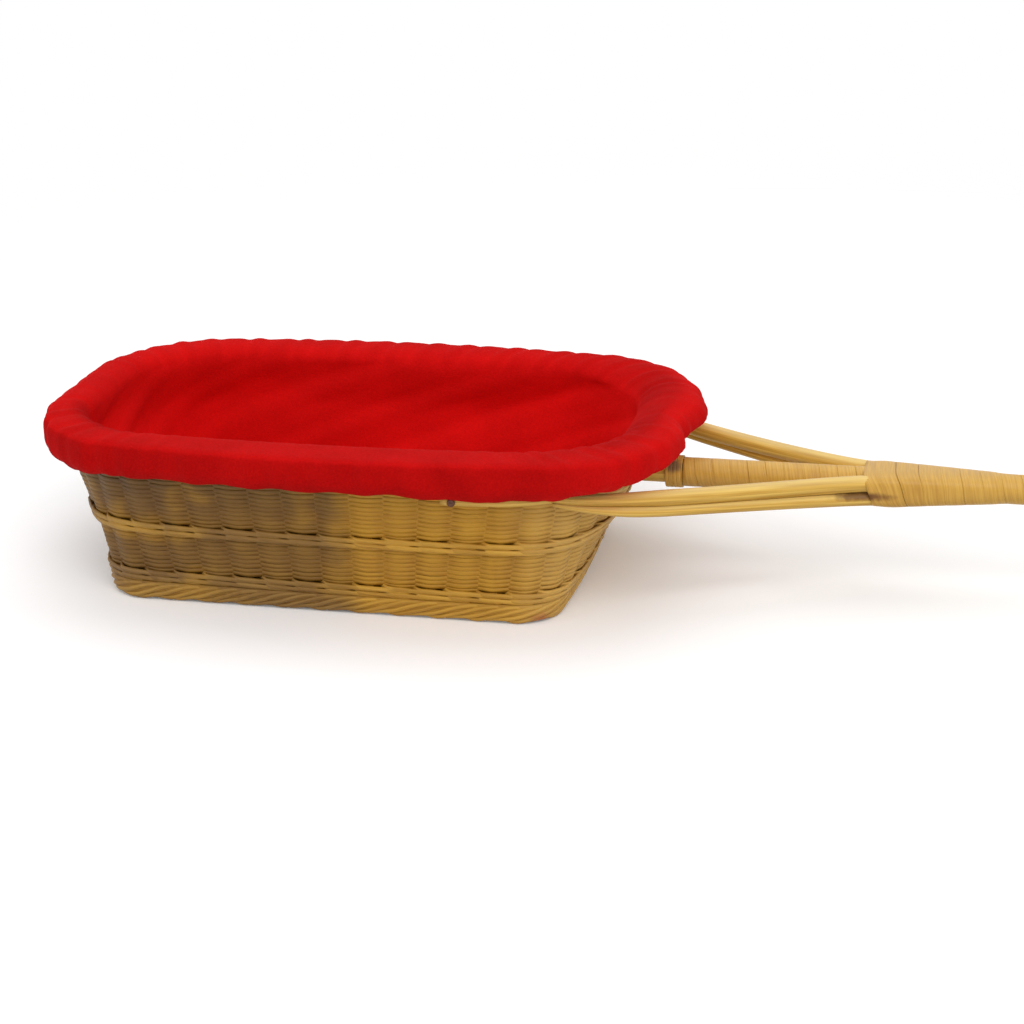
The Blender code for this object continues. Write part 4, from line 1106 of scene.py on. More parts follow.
def blotch_group():
    """A soft blot about a centre: 1 inside an ellipsoid of the given half sizes, with a ragged edge."""
    inputs = (
        ("Centre", "NodeSocketVector", (0.0, 0.0, 0.0)),
        ("Size", "NodeSocketVector", (0.01, 0.01, 0.01)),
    )
    group, start, end = new_group("Blotch", inputs, (("Mask", "NodeSocketFloat"),))
    spot = object_place(group)
    places = {0: spot, 1: start.outputs["Centre"]}
    away = add_node(group, "ShaderNodeVectorMath", places, operation="SUBTRACT")
    sizes = {0: away.outputs[0], 1: start.outputs["Size"]}
    scaled = add_node(group, "ShaderNodeVectorMath", sizes, operation="DIVIDE")
    length = add_node(group, "ShaderNodeVectorMath", {0: scaled.outputs[0]}, operation="LENGTH")
    uneven = from_middle(group, noise(group, spot, scale=320.0, detail=2.0), BLOTCH_RAGGEDNESS)
    reach = plus(group, length.outputs["Value"], uneven)
    group.links.new(ramp_between(group, reach, *BLOTCH_SPAN), end.inputs["Mask"])
    return group


def painted_light_group():
    """Cane and rattan with a painted highlight where they face up and painted shade where they face down."""
    inputs = (
        ("Color", "NodeSocketColor", (0.5, 0.3, 0.1, 1.0)),
        ("Bleach", "NodeSocketFloat", 0.30),
        ("Shade", "NodeSocketFloat", 0.21),
    )
    group, start, end = new_group("Painted highlight and shade", inputs, (("Color", "NodeSocketColor"),))
    normal = add_node(group, "ShaderNodeNewGeometry").outputs["Normal"]
    facing = add_node(group, "ShaderNodeSeparateXYZ", {0: normal}).outputs[2]
    # Painted shade where the surface faces down, and a painted highlight where it faces up
    under = times(group, ramp_between(group, facing, *SHADED_SPAN), start.outputs["Shade"])
    darker = blend_colours(group, under, start.outputs["Color"], BLACK)
    upper = times(group, ramp_between(group, facing, *TOP_HIGHLIGHT_SPAN), start.outputs["Bleach"])
    group.links.new(blend_colours(group, upper, darker, PAINTED_TOP_HIGHLIGHT), end.inputs["Color"])
    return group


def new_material(name):
    """A material with its node tree, its Principled shader and nothing else set."""
    made = bpy.data.materials.new(name)
    made.use_nodes = True
    return made, made.node_tree, made.node_tree.nodes["Principled BSDF"]


def willow_material(
    name, groups, colours, fibres, roughness, tone_share, bump, aged_and_shaded=None, bleach=0.0, blotches=()
):
    """Varnished willow or cane: fibres and tone along each strand, darker where it is marked or stained.

    The fine wicker's colour is multiplied by a darker colour towards the end away from the handle, where it
    has darkened with time, and high on the wall under the liner's roll, as painted shade; it is paler near
    the handle.
    Cane and rattan have none of these, and have a painted highlight on top and painted shade underneath
    instead.
    """
    made, tree, shader = new_material(name)
    light, dark = colours
    along, around = fibres
    fibre = use_group(tree, groups["fibre"], along=along, round=around)
    tone = add_node(tree, "ShaderNodeAttribute", attribute_name="tone").outputs["Fac"]
    streak = times(tree, ramp_between(tree, fibre.outputs["Fibre"], *STREAK_SPAN), 1 - tone_share)
    colour = blend_colours(tree, plus(tree, times(tree, tone, tone_share), streak), dark, light)
    mark = times(tree, ramp_between(tree, fibre.outputs["Mark"], *MARK_SPAN), MARK_STRENGTH)
    colour = blend_colours(tree, mark, colour, dark)
    if aged_and_shaded is None:
        # Cane and rattan: a painted highlight on top and painted shade underneath
        colour = use_group(tree, groups["painted_light"], color=colour, bleach=bleach).outputs["Color"]
    else:
        age_and_shade = use_group(tree, groups["age_and_shade"])
        colour = blend_colours(tree, age_and_shade.outputs["Age"], colour, aged_and_shaded, "MULTIPLY")
        # Paler towards the handle end
        lighter_share = times(tree, age_and_shade.outputs["Paler"], PALER_STRENGTH)
        colour = blend_colours(tree, lighter_share, colour, PALE_STRAW)
    for centre, size, blotch, strength in blotches:
        mask = use_group(tree, groups["blotch"], centre=centre, size=size).outputs["Mask"]
        colour = blend_colours(tree, times(tree, mask, strength), colour, blotch)
    gloss = times(tree, ramp_between(tree, fibre.outputs["Fibre"], *GLOSS_SPAN), GLOSS_CHANGE)
    rough = plus(tree, gloss, roughness - GLOSS_CHANGE / 2)
    normal = relief(tree, fibre.outputs["Fibre"], strength=bump, distance=0.0004)
    feed(tree, shader, {"Base Color": colour, "Roughness": rough})
    feed(tree, shader, {"Normal": normal, "Specular IOR Level": 0.32})
    return made


def stake_material(name, groups, light, dark, aged_and_shaded):
    """Willow stakes, which carry no UV: fine noise stretched up the wall by Object coordinates."""
    made, tree, shader = new_material(name)
    stretched = add_node(tree, "ShaderNodeMapping", {"Vector": object_place(tree), "Scale": STAKE_STRETCH})
    fibre = noise(tree, stretched.outputs[0])
    colour = blend_colours(tree, ramp_between(tree, fibre, *STREAK_SPAN), dark, light)
    age_and_shade = use_group(tree, groups["age_and_shade"]).outputs["Age"]
    colour = blend_colours(tree, age_and_shade, colour, aged_and_shaded, "MULTIPLY")
    normal = relief(tree, fibre, strength=0.3, distance=0.0003)
    feed(tree, shader, {"Base Color": colour, "Roughness": 0.55, "Normal": normal})
    return made


def felt_material(name, deep, bright):
    """Red felt: matted fibres and clouds of noise, brighter or darker by the tone, which holds painted light
    and shade.
    """
    made, tree, shader = new_material(name)
    spot = object_place(tree)
    matted = noise(tree, spot, scale=900.0, detail=4.0)
    cloudy = noise(tree, spot, scale=38.0)
    tone = add_node(tree, "ShaderNodeAttribute", attribute_name="tone").outputs["Fac"]
    nap = times(tree, ramp_between(tree, matted, *STREAK_SPAN), FELT_NOISE_SHARE)
    cloud = times(tree, ramp_between(tree, cloudy, *STREAK_SPAN), FELT_NOISE_SHARE)
    share = plus(tree, plus(tree, nap, cloud), times(tree, tone, FELT_TONE_SHARE))
    height = plus(tree, matted, times(tree, cloudy, FELT_CLOUD_HEIGHT))
    colour = blend_colours(tree, share, deep, bright)
    normal = relief(tree, height, strength=0.35, distance=0.0005)
    feed(tree, shader, {"Base Color": colour, "Roughness": 0.92})
    feed(tree, shader, {"Normal": normal, "Specular IOR Level": 0.06})
    feed(tree, shader, {"Sheen Weight": 0.05, "Sheen Roughness": 0.5, "Sheen Tint": (*bright, 1.0)})
    return made


def elastic_material(name, light, dark):
    """Knitted elastic: fine upright ribs crossed by finer rows, from two waves of the Object coordinates."""
    made, tree, shader = new_material(name)
    spot = object_place(tree)
    ribs = add_node(tree, "ShaderNodeTexWave", {"Vector": spot, "Scale": 900.0}, bands_direction="X")
    rows = add_node(tree, "ShaderNodeTexWave", {"Vector": spot, "Scale": 500.0}, bands_direction="Z")
    knit = times(tree, ribs.outputs[1], rows.outputs[1])
    colour = blend_colours(tree, knit, dark, light)
    normal = relief(tree, knit, strength=0.4, distance=0.0003)
    feed(tree, shader, {"Base Color": colour, "Roughness": 0.8, "Normal": normal})
    return made


def iron_material(name, clean, dark):
    """Dark blued iron with a few browner, rougher spots."""
    made, tree, shader = new_material(name)
    share = ramp_between(tree, noise(tree, object_place(tree), scale=700.0), *RUST_SPAN)
    rough = plus(tree, times(tree, share, RUST_ROUGHNESS), 0.4)
    colour = blend_colours(tree, share, clean, dark)
    feed(tree, shader, {"Base Color": colour, "Roughness": rough, "Metallic": 0.25})
    return made


def size_property(label, note, value):
    """A length in metres that the sidebar shows."""
    return bpy.props.FloatProperty(
        name=label, description=note, default=value, precision=5, subtype="DISTANCE", unit="LENGTH"
    )


def share_property(label, note, value):
    """A plain number without a unit."""
    return bpy.props.FloatProperty(name=label, description=note, default=value, precision=4, subtype="FACTOR")


def angle_property(label, note, degrees):
    """An angle, given here in degrees."""
    return bpy.props.FloatProperty(
        name=label, description=note, default=math.radians(degrees), precision=4, subtype="ANGLE",
        unit="ROTATION",
    )


def count_property(label, note, value):
    """A whole number of steps or pieces."""
    return bpy.props.IntProperty(name=label, description=note, default=value, min=1)


def colour_property(label, note, value):
    """A colour in linear light."""
    return bpy.props.FloatVectorProperty(
        name=label, description=note, default=value, size=3, subtype="COLOR", min=0.0, max=1.0
    )


def power_property(label, note, watts):
    """A lamp's power in watts."""
    return bpy.props.FloatProperty(name=label, description=note, default=watts, unit="POWER")


class WickerSettings(bpy.types.PropertyGroup):
    """Sizes of the weavers, the wales and the twisted rings."""

    weaver_pitch: size_property("Weaver pitch", "Height that one fine weaver takes on the wall", 0.00131)
    weaver_thickness: size_property("Weaver thickness", "How thick a fine weaver is, out of the wall", 0.0010)
    weaver_ease: size_property("Weaver ease", "Room between a weaver and the stake that it passes", 0.00015)
    weaver_overlap: size_property("Weaver overlap", "How far the fine weavers run behind a wale", 0.0009)
    weaver_wander: size_property("Weaver wander", "How far a weaver strays from level", 0.00016)
    weaver_fill: share_property("Weaver fill", "A weaver's height as a share of its pitch", 2.35)
    # Rubbed paler and a painted highlight where a weaver stands out over a stake
    weaver_rub_and_highlight: share_property(
        "Weaver rub and highlight", "How much lighter a weaver is where it stands out over a stake", 0.45
    )
    weaver_unevenness: share_property("Weaver unevenness", "How much weavers differ in thickness", 0.10)
    weaver_peak: share_property("Weaver peak", "How narrowly a weaver bends over a stake", 1.35)
    row_sharpness: share_property("Row sharpness", "How sharply a row of the base turns between stakes", 1.2)
    weaver_steps: count_property("Weaver steps", "Points along a weaver from stake to stake", 7)
    weaver_sides: count_property("Weaver sides", "Points round a fine weaver", 6)
    wale_radius: size_property("Wale thickness", "Half the thickness of a wale rod, out of the wall", 0.00115)
    wale_half_height: size_property("Wale half height", "Half the height of a wale rod", 0.00150)
    wale_ease: size_property("Wale ease", "Room between a wale rod and the stakes", 0.0001)
    wale_rise: size_property("Wale rise", "How far the newest stroke lies outside the last one", 0.0008)
    wale_lane: size_property("Wale lane", "Half the height between a rod's upper and lower lane", 0.00085)
    wale_turn: share_property("Wale turn", "Share of a wave that a rod takes to pass through the wall", 0.08)
    wale_steps: count_property("Wale steps", "Points along a wale rod from stake to stake", 8)
    strand_steps: count_property("Strand steps", "Points along a twisted strand from stake to stake", 6)
    scallops: count_property("Scallops", "How many times the foot's lower edge rises and falls", 37)
    strand_sides: count_property("Strand sides", "Points round a thick strand", 8)
    base_pitch: size_property("Base pitch", "Width of one row of the base", 0.0022)
    base_half_thickness: size_property(
        "Base half thickness", "Half the thickness of a row of the base", 0.00042
    )
    base_steps: count_property("Base steps", "Points along a row of the base", 85)


class HandleSettings(bpy.types.PropertyGroup):
    """Sizes of the cane winding and the steps along the rods."""

    cane_width: size_property("Cane width", "Width of the cane wound on the grip", 0.0104)
    arm_cane_width: size_property("Arm cane width", "Width of the cane wound on the middle arm", 0.0096)
    binding_cane_width: size_property("Binding cane width", "Width of the cane in the two bindings", 0.0022)
    cane_cover: share_property("Cane cover", "A strip's width as a share of its pitch", 1.03)
    grip_lead: size_property("Grip lead", "Length over which the grip's cane grows to its thickness", 0.0110)
    grip_slant: share_property("Grip slant", "How far the grip's first turns lean, per height", 0.36)
    grip_slant_reach: size_property("Grip slant reach", "Length over which the turns come upright", 0.040)
    thin_start: share_property("Thin start", "The cane's thickness where the grip starts, as a share", 0.40)
    mouth: size_property("Mouth", "How much wider the grip's winding is on each side where it starts", 0.0006)
    bundle_squareness: share_property(
        "Bundle squareness", "Section of the grip's start: 2 is an ellipse", 4.4
    )
    lower_tip: share_property("Lower tip", "Thickness of the lower rod's pared tip, as a share", 0.35)
    lower_tip_reach: share_property("Lower tip reach", "Share of the way over which the tip grows", 0.30)
    lower_root: size_property("Lower root", "Half the lower rod's thickness at the junction", 0.0039)
    rod_press: size_property("Rod press", "How far the two rods of an arm press together", 0.0002)
    cane_wobble: share_property("Cane wobble", "How far a turn strays, as a share of the width", 0.03)
    cane_start: angle_property("Cane start", "Angle round the pole at which the winding starts", -90.0)
    turn_steps: count_property("Turn steps", "Points along one turn of cane", 32)
    trimmed_turn: share_property("Trimmed turn", "Share of a turn that is trimmed level at each end", 0.93)
    arm_wall_steps: count_property("Arm wall steps", "Points along an arm where it lies on the wall", 36)
    arm_free_steps: count_property("Arm free steps", "Points along an arm from the wall to the junction", 80)
    arm_scarf_steps: count_property("Arm scarf steps", "Points along an arm's thin end", 14)
    rod_sides: count_property("Rod sides", "Points round a side rod", 18)
    pole_sides: count_property("Pole sides", "Points round the pole", 32)


class LinerSettings(bpy.types.PropertyGroup):
    """Shape and folds of the cloth liner."""

    liner_columns: count_property("Columns", "Columns of points round the liner", 600)
    liner_side_rows: count_property("Side rows", "Rows up the straight side", 14)
    liner_neck_rows: count_property("Neck rows", "Rows from the straight side to the roll", 8)
    roll_rows: count_property("Roll rows", "Rows over the roll", 40)
    floor_rings: count_property("Floor rings", "Rings of points across the bottom", 12)
    rim_length: size_property("Rim length", "Length of the roll's outer edge", 0.3622)
    rim_width: size_property("Rim width", "Width of the roll's outer edge", 0.2214)
    rim_corner: size_property("Rim corner", "Corner radius of the roll's outer edge before its bows", 0.0284)
    rim_side_bow: size_property("Rim side bow", "How far the sides bow out in their middle", 0.0142)
    rim_end_bow: size_property("Rim end bow", "How far the ends bow out in their middle", 0.0350)
    rim_lean: size_property("Rim lean", "How far the roll is shifted towards the handle", 0.0100)
    roll_inner_offset: size_property(
        "Roll inner edge", "The roll's inner edge, out from the wall's face", -0.0160
    )
    end_inner: size_property(
        "End inner edge", "How much further out that edge lies at the handle end", 0.0057
    )
    lip_squareness: share_property(
        "Lip squareness", "The inner lip: 2 is an ellipse and more is squarer", 3.0
    )
    end_lip: share_property("End lip", "The same at the handle end", 1.7)
    near_fold: share_property(
        "Near fold", "The near side's outer fold: 2 is an ellipse and more is squarer", 9.0
    )
    end_fold: share_property("End fold", "The ends' outer fold: 2 is an ellipse and more is squarer", 2.1)
    far_fold: share_property(
        "Far fold", "The far side's outer fold: 2 is an ellipse and more is squarer", 2.0
    )
    tuck_squareness: share_property(
        "Tuck squareness", "Lower half at the handle end: under 2 is drawn in", 1.2
    )
    end_tuck: size_property("End tuck", "How far the hem is drawn in at the handle end", 0.0050)
    far_end_ease: size_property("Far end ease", "How far the hem stands out at the far end", 0.0011)
    end_lift: share_property(
        "End lift", "How far the hem rises at the handle end, as a share of the roll", 0.22
    )
    near_lift: share_property(
        "Near lift", "How far the hem rises along the near side, as a share of the roll", 0.21
    )
    far_sink: share_property("Far sink", "How much lower the roll's top is on the far side, as a share", 0.26)
    near_sink: share_property("Near sink", "How much lower it is on the near side, as a share", 0.16)
    notch_place: share_property("Notch place", "Where the fold is drawn in at the handle, as a share", 0.238)
    notch_spread: share_property("Notch spread", "Half the width of that place, as a share", 0.021)
    notch_depth: size_property("Notch depth", "How far the fold is drawn in there", 0.0084)
    chamfer_place: share_property("Chamfer place", "Where the far corner is drawn in, as a share", 0.755)
    chamfer_spread: share_property("Chamfer spread", "Half the width of that corner, as a share", 0.035)
    chamfer_depth: size_property("Chamfer depth", "How far the corner is drawn in", 0.0052)
    hem_angle: angle_property("Hem angle", "Angle of the section at which the hem ends", HEM_ANGLE)
    fold_lean: size_property("Fold lean", "Height over which a fold leans by the whole way round", 0.32)
    fold_depth: size_property("Fold depth", "Depth of the soft folds on the inside", 0.0015)
    gather_depth: size_property("Gather depth", "Depth of the gathers on the roll", 0.00040)
    gather_plain: share_property("Plain gathers", "Share of the gathers that the straights keep", 0.14)
    gather_far: share_property("Far gathers", "Share of the gathers that the far side keeps", 0.85)
    corner_place: share_property("Corner place", "Where a corner lies in its quarter of the way round", 0.64)
    corner_spread: share_property("Corner spread", "How far the gathers spread from a corner", 0.22)
    crest_angle: angle_property("Crest angle", "Where on the roll's section the outer fold lies", 45.0)
    crest_spread: angle_property("Crest spread", "Half the width of the fold round the section", 16.0)
    # Painted light, raised against the shade inside the basket
    inside_tone: share_property("Inside tone", "How bright the inside is", 0.95)
    end_hem_tone: share_property(
        "End hem tone", "How much of the hem's dark is missing at the handle end", 1.0
    )
    end_band_tone: share_property("End band tone", "How much brighter the roll is at both ends", 0.15)
    slope_tone: share_property(
        "Slope tone", "How much darker the roll's inner slope is at the handle end", 0.40
    )
    far_band_tone: share_property(
        "Far band tone", "How much brighter the roll's inner slope is on the far side", 0.22
    )
    band_tone: share_property("Band tone", "How bright the roll's top is", 0.36)
    # A painted highlight along the ends' fold
    crest_highlight_tone: share_property("Crest highlight tone", "How much brighter the ends' brushed fold is", 0.22)
    # Painted shade on the hem's face
    hem_shade_tone: share_property("Hem shade tone", "How much darker the hem is", 0.28)
    # Painted light and shade along the folds
    fold_light_tone: share_property("Fold light tone", "How much the folds change the nap's brightness", 0.09)
    rim_ripple: size_property("Rim ripple", "How far the outer edge ripples", 0.0006)
    hem_scallop: size_property("Hem scallop", "How far the hem's edge rises and falls", 0.0006)
    pucker: size_property("Pucker", "Depth of the puckers along the bottom's seam", 0.0004)
    floor_dome: size_property("Floor dome", "How far the bottom's middle stands up", 0.0012)


class FinishSettings(bpy.types.PropertyGroup):
    """Colours and gloss of the finishes."""

    weave_light: colour_property("Weave light", "Light willow of the fine weavers", (0.50, 0.260, 0.020))
    weave_dark: colour_property("Weave dark", "Dark willow of the fine weavers", (0.31, 0.138, 0.0080))
    strand_light: colour_property("Strand light", "Light willow of the wales", (0.60, 0.335, 0.042))
    strand_dark: colour_property("Strand dark", "Dark willow of the wales", (0.34, 0.160, 0.014))
    stake_light: colour_property("Stake light", "Light willow of the stakes", (0.72, 0.44, 0.09))
    stake_dark: colour_property("Stake dark", "Dark willow of the stakes", (0.46, 0.25, 0.035))
    # This colour also darkens the wall high up under the liner's roll, as painted shade
    aged_and_shaded: colour_property(
        "Aged and shaded", "What the willow's colour is multiplied by where it has aged", (0.31, 0.300, 0.86)
    )
    cane_light: colour_property("Cane light", "Light cane of the winding", (0.66, 0.385, 0.068))
    cane_dark: colour_property("Cane dark", "Dark cane of the winding", (0.47, 0.235, 0.032))
    rod_light: colour_property("Rod light", "Light rattan of the arms", (0.79, 0.51, 0.105))
    rod_dark: colour_property("Rod dark", "Dark rattan of the arms", (0.50, 0.26, 0.034))
    felt_deep: colour_property("Felt deep", "The felt's darker red", (0.31, 0.0008, 0.0010))
    felt_bright: colour_property("Felt bright", "The felt's brighter red", (0.72, 0.0055, 0.0052))
    elastic_light: colour_property("Elastic light", "The elastic's raised ribs", (0.75, 0.72, 0.68))
    elastic_dark: colour_property("Elastic dark", "The elastic's grooves", (0.45, 0.43, 0.40))
    iron_clean: colour_property("Iron", "The tacks' dark iron", (0.115, 0.042, 0.022))
    iron_dark: colour_property("Iron spots", "The tacks' browner spots", (0.060, 0.020, 0.011))
    floor: colour_property("Floor", "The stage's floor", (0.93, 0.93, 0.93))


class StageSettings(bpy.types.PropertyGroup):
    """The camera's place and the lamps' power."""

    azimuth: angle_property("Azimuth", "How far the camera stands round from straight in front", 12.81)
    elevation: angle_property("Elevation", "How far the camera looks down", 20.94)
    tilt: angle_property("Tilt", "How far the picture is turned", -1.26)
    distance: size_property("Distance", "From the camera's plane to the target", 1.24922)
    target_x: size_property("Target X", "What the camera is set out from, along the handle", 0.00915)
    target_z: size_property("Target Z", "What the camera is set out from, above the floor", 0.0600)
    shift_right: size_property(
        "Shift right", "How far the camera is moved along the picture's width", 0.07543
    )
    shift_up: size_property("Shift up", "How far the camera is moved along the picture's height", -0.03194)
    floor_glow: share_property("Floor glow", "How much whiter the floor looks to the camera", 0.12)
    lens: bpy.props.FloatProperty(
        name="Lens", description="Focal length for a sensor 36 mm wide", default=78.948, precision=3,
        subtype="DISTANCE_CAMERA", unit="CAMERA",
    )
    key_power: power_property("Key power", "The large lamp's power", 15.0)
    fill_power: power_property("Fill power", "The left lamp's power", 4.5)
    top_power: power_property("Top power", "The overhead lamp's power", 9.0)
    sky_strength: share_property("Sky strength", "The even light from all round", 0.62)


def finish_library(scene):
    """The finishes of the object, made once and found again by name."""
    if "Fine weavers" in bpy.data.materials:
        return bpy.data.materials
    look = scene.basket_finish
    blotch = blotch_group()
    groups = {"fibre": fibre_group(), "age_and_shade": age_and_shade_group(blotch), "blotch": blotch, "painted_light": painted_light_group()}
    willow_material(
        "Fine weavers", groups, (look.weave_light, look.weave_dark), fibres=(60.0, 1500.0), roughness=0.52,
        tone_share=0.55, bump=0.25, aged_and_shaded=look.aged_and_shaded,
    )
    willow_material(
        "Wale rods", groups, (look.strand_light, look.strand_dark), fibres=(50.0, 1100.0), roughness=0.48,
        tone_share=0.50, bump=0.30, aged_and_shaded=look.aged_and_shaded, blotches=(FOOT_STAIN,),
    )
    # The cane's and rattan's highlight shares are painted highlights on their upper faces
    willow_material(
        "Wound cane", groups, (look.cane_light, look.cane_dark), fibres=(45.0, 1400.0), roughness=0.40,
        tone_share=0.28, bump=0.22, bleach=0.06, blotches=(JUNCTION_DARK_MARK, BINDING_STAIN),
    )
    willow_material(
        "Rattan rods", groups, (look.rod_light, look.rod_dark), fibres=(14.0, 600.0), roughness=0.42,
        tone_share=0.15, bump=0.30, bleach=0.34, blotches=(JUNCTION_DARK_MARK,),
    )
    stake_material("Willow stakes", groups, look.stake_light, look.stake_dark, look.aged_and_shaded)
    felt_material("Red felt", look.felt_deep, look.felt_bright)
    elastic_material("Knitted elastic", look.elastic_light, look.elastic_dark)
    iron_material("Blued iron", look.iron_clean, look.iron_dark)
    return bpy.data.materials


class BASKET_OT_weave(bpy.types.Operator):
    """Weave the two blocks of fine weavers"""

    bl_idname = "basket.weave"
    bl_label = "Weave the wall"

    def execute(self, context):
        look, finishes = context.scene.basket_wicker, finish_library(context.scene)
        blocks = (
            ("lower_weavers", "lower_weave", LOWER_WEAVE_Z, LOWER_WEAVE_HEIGHT),
            ("upper_weavers", "upper_weave", UPPER_WEAVE_Z, UPPER_WEAVE_HEIGHT),
        )
        for name, node, base, height in blocks:
            made = weaver_rows(name, base, height, look)
            dress(made, "basket", "wicker_weave", finishes["Fine weavers"], node)
        return {"FINISHED"}


class BASKET_OT_bands(bpy.types.Operator):
    """Weave the two wales, the plaited foot and the rolled border"""

    bl_idname = "basket.bands"
    bl_label = "Weave the bands"

    def execute(self, context):
        look, finishes = context.scene.basket_wicker, finish_library(context.scene)
        rods = finishes["Wale rods"]
        upset = waling("upset_wale_rods", UPSET_WALE_Z, look)
        dress(upset, "basket", "wicker_border", rods, "upset_wale_outer", "upset_wale_inner")
        middle = waling("middle_wale_rods", MIDDLE_WALE_Z, look)
        dress(middle, "basket", "wicker_border", rods, "middle_wale_outer", "middle_wale_inner")
        foot = twisted_ring("foot_plait", FOOT_PLAIT, look)
        dress(foot, "basket", "wicker_border", rods, "foot_border")
        border = twisted_ring("rim_plait", RIM_PLAIT, look)
        dress(border, "basket", "wicker_border", rods, "rim_border")
        return {"FINISHED"}


class BASKET_OT_base(bpy.types.Operator):
    """Weave the base and finish the stakes"""

    bl_idname = "basket.base"
    bl_label = "Weave the base"

    def execute(self, context):
        look, finishes = context.scene.basket_wicker, finish_library(context.scene)
        dress(base_rows("base_rows", look), "basket", "wicker_weave", finishes["Fine weavers"], "base_mat")
        for node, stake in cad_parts.items():
            if "stake" in node:
                stake.material_slots[0].material = finishes["Willow stakes"]
        return {"FINISHED"}


class BASKET_OT_arms(bpy.types.Operator):
    """Make the pole, the four side rods and their tacks"""

    bl_idname = "basket.arms"
    bl_label = "Make the pole and arms"

    def execute(self, context):
        look, finishes = context.scene.basket_handle, finish_library(context.scene)
        along_pole, middle = np.array([1.0, 0.0, 0.0]), np.array([0.0, 0.0, POLE_HEIGHT])
        pole = turned("pole", middle, along_pole, pole_profile(), look.pole_sides)
        dress(pole, "basket", "rattan_rod", finishes["Rattan rods"], "handle_pole")
        upper, lower = arm_paths(look)
        share, level = np.full(1, TACK_STAKE_SPACE / STAKE_COUNT), np.full(1, UPPER_ROD_Z)
        tack_base = place(share, level, np.zeros(1), level)[0]
        _, out = wall_directions(share, level)
        tack_out = np.array([*out[0], 0.0])
        for label, mirror in (("front", 1), ("back", -1)):
            flip = np.array([1.0, mirror, 1.0])
            for part, (path, radii) in (("upper", upper), ("lower", lower)):
                made = rod(f"{label}_arm_{part}_cane", path * flip, radii, look)
                dress(made, "basket", "rattan_rod", finishes["Rattan rods"], f"{label}_arm_{part}_rod")
            tack = turned(f"{label}_arm_nail", tack_base * flip, tack_out * flip, tack_profile(), TACK_SIDES)
            dress(tack, "basket", "tack", finishes["Blued iron"], f"{label}_arm_tack")
        return {"FINISHED"}


class BASKET_OT_winding(bpy.types.Operator):
    """Wind the cane on the middle arm, the grip and the two bindings"""

    bl_idname = "basket.winding"
    bl_label = "Wind the cane"

    def execute(self, context):
        look, finishes = context.scene.basket_handle, finish_library(context.scene)
        binding_x = end_wall_x(POLE_HEIGHT, 0.0) + WALL_BINDING_SETBACK
        arm_x = binding_x + BINDING_WIDTH + GAP
        binding = (look.binding_cane_width, BINDING_THICKNESS)
        spans = (
            ("wall_binding", binding_x, binding_x + BINDING_WIDTH, *binding),
            ("middle_arm_wrap", arm_x, WRAP_START - GAP, look.arm_cane_width, WRAP_THICKNESS),
            ("end_binding", END_BINDING_X, END_BINDING_X + BINDING_WIDTH, *binding),
        )
        for node, start, end, width, thickness in spans:
            made = wound_cane(f"{node}_cane", start, end, width, thickness, plain_core(start, end), look)
            dress(made, "basket", "cane_wrap", finishes["Wound cane"], node)
        grip = wound_cane(
            "handle_wrap_cane", WRAP_START, END_BINDING_X - GAP, look.cane_width, WRAP_THICKNESS,
            bundle_core(look), look, look.grip_lead,
        )
        dress(grip, "basket", "cane_wrap", finishes["Wound cane"], "handle_wrap")
        return {"FINISHED"}


class BASKET_OT_liner(bpy.types.Operator):
    """Make the felt liner and finish its elastic"""

    bl_idname = "basket.liner"
    bl_label = "Make the liner"

    def execute(self, context):
        look, finishes = context.scene.basket_liner, finish_library(context.scene)
        share = np.arange(look.liner_columns) / look.liner_columns
        face, tone = liner_face(share, look)
        side = cloth_ring("liner_cloth", face, CLOTH, tone)
        dress(side, "liner", "felt", finishes["Red felt"], "liner_side")
        floor = liner_floor("liner_floor", look)
        dress(floor, "liner", "felt", finishes["Red felt"], "liner_bottom")
        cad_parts["liner_elastic"].material_slots[0].material = finishes["Knitted elastic"]
        return {"FINISHED"}


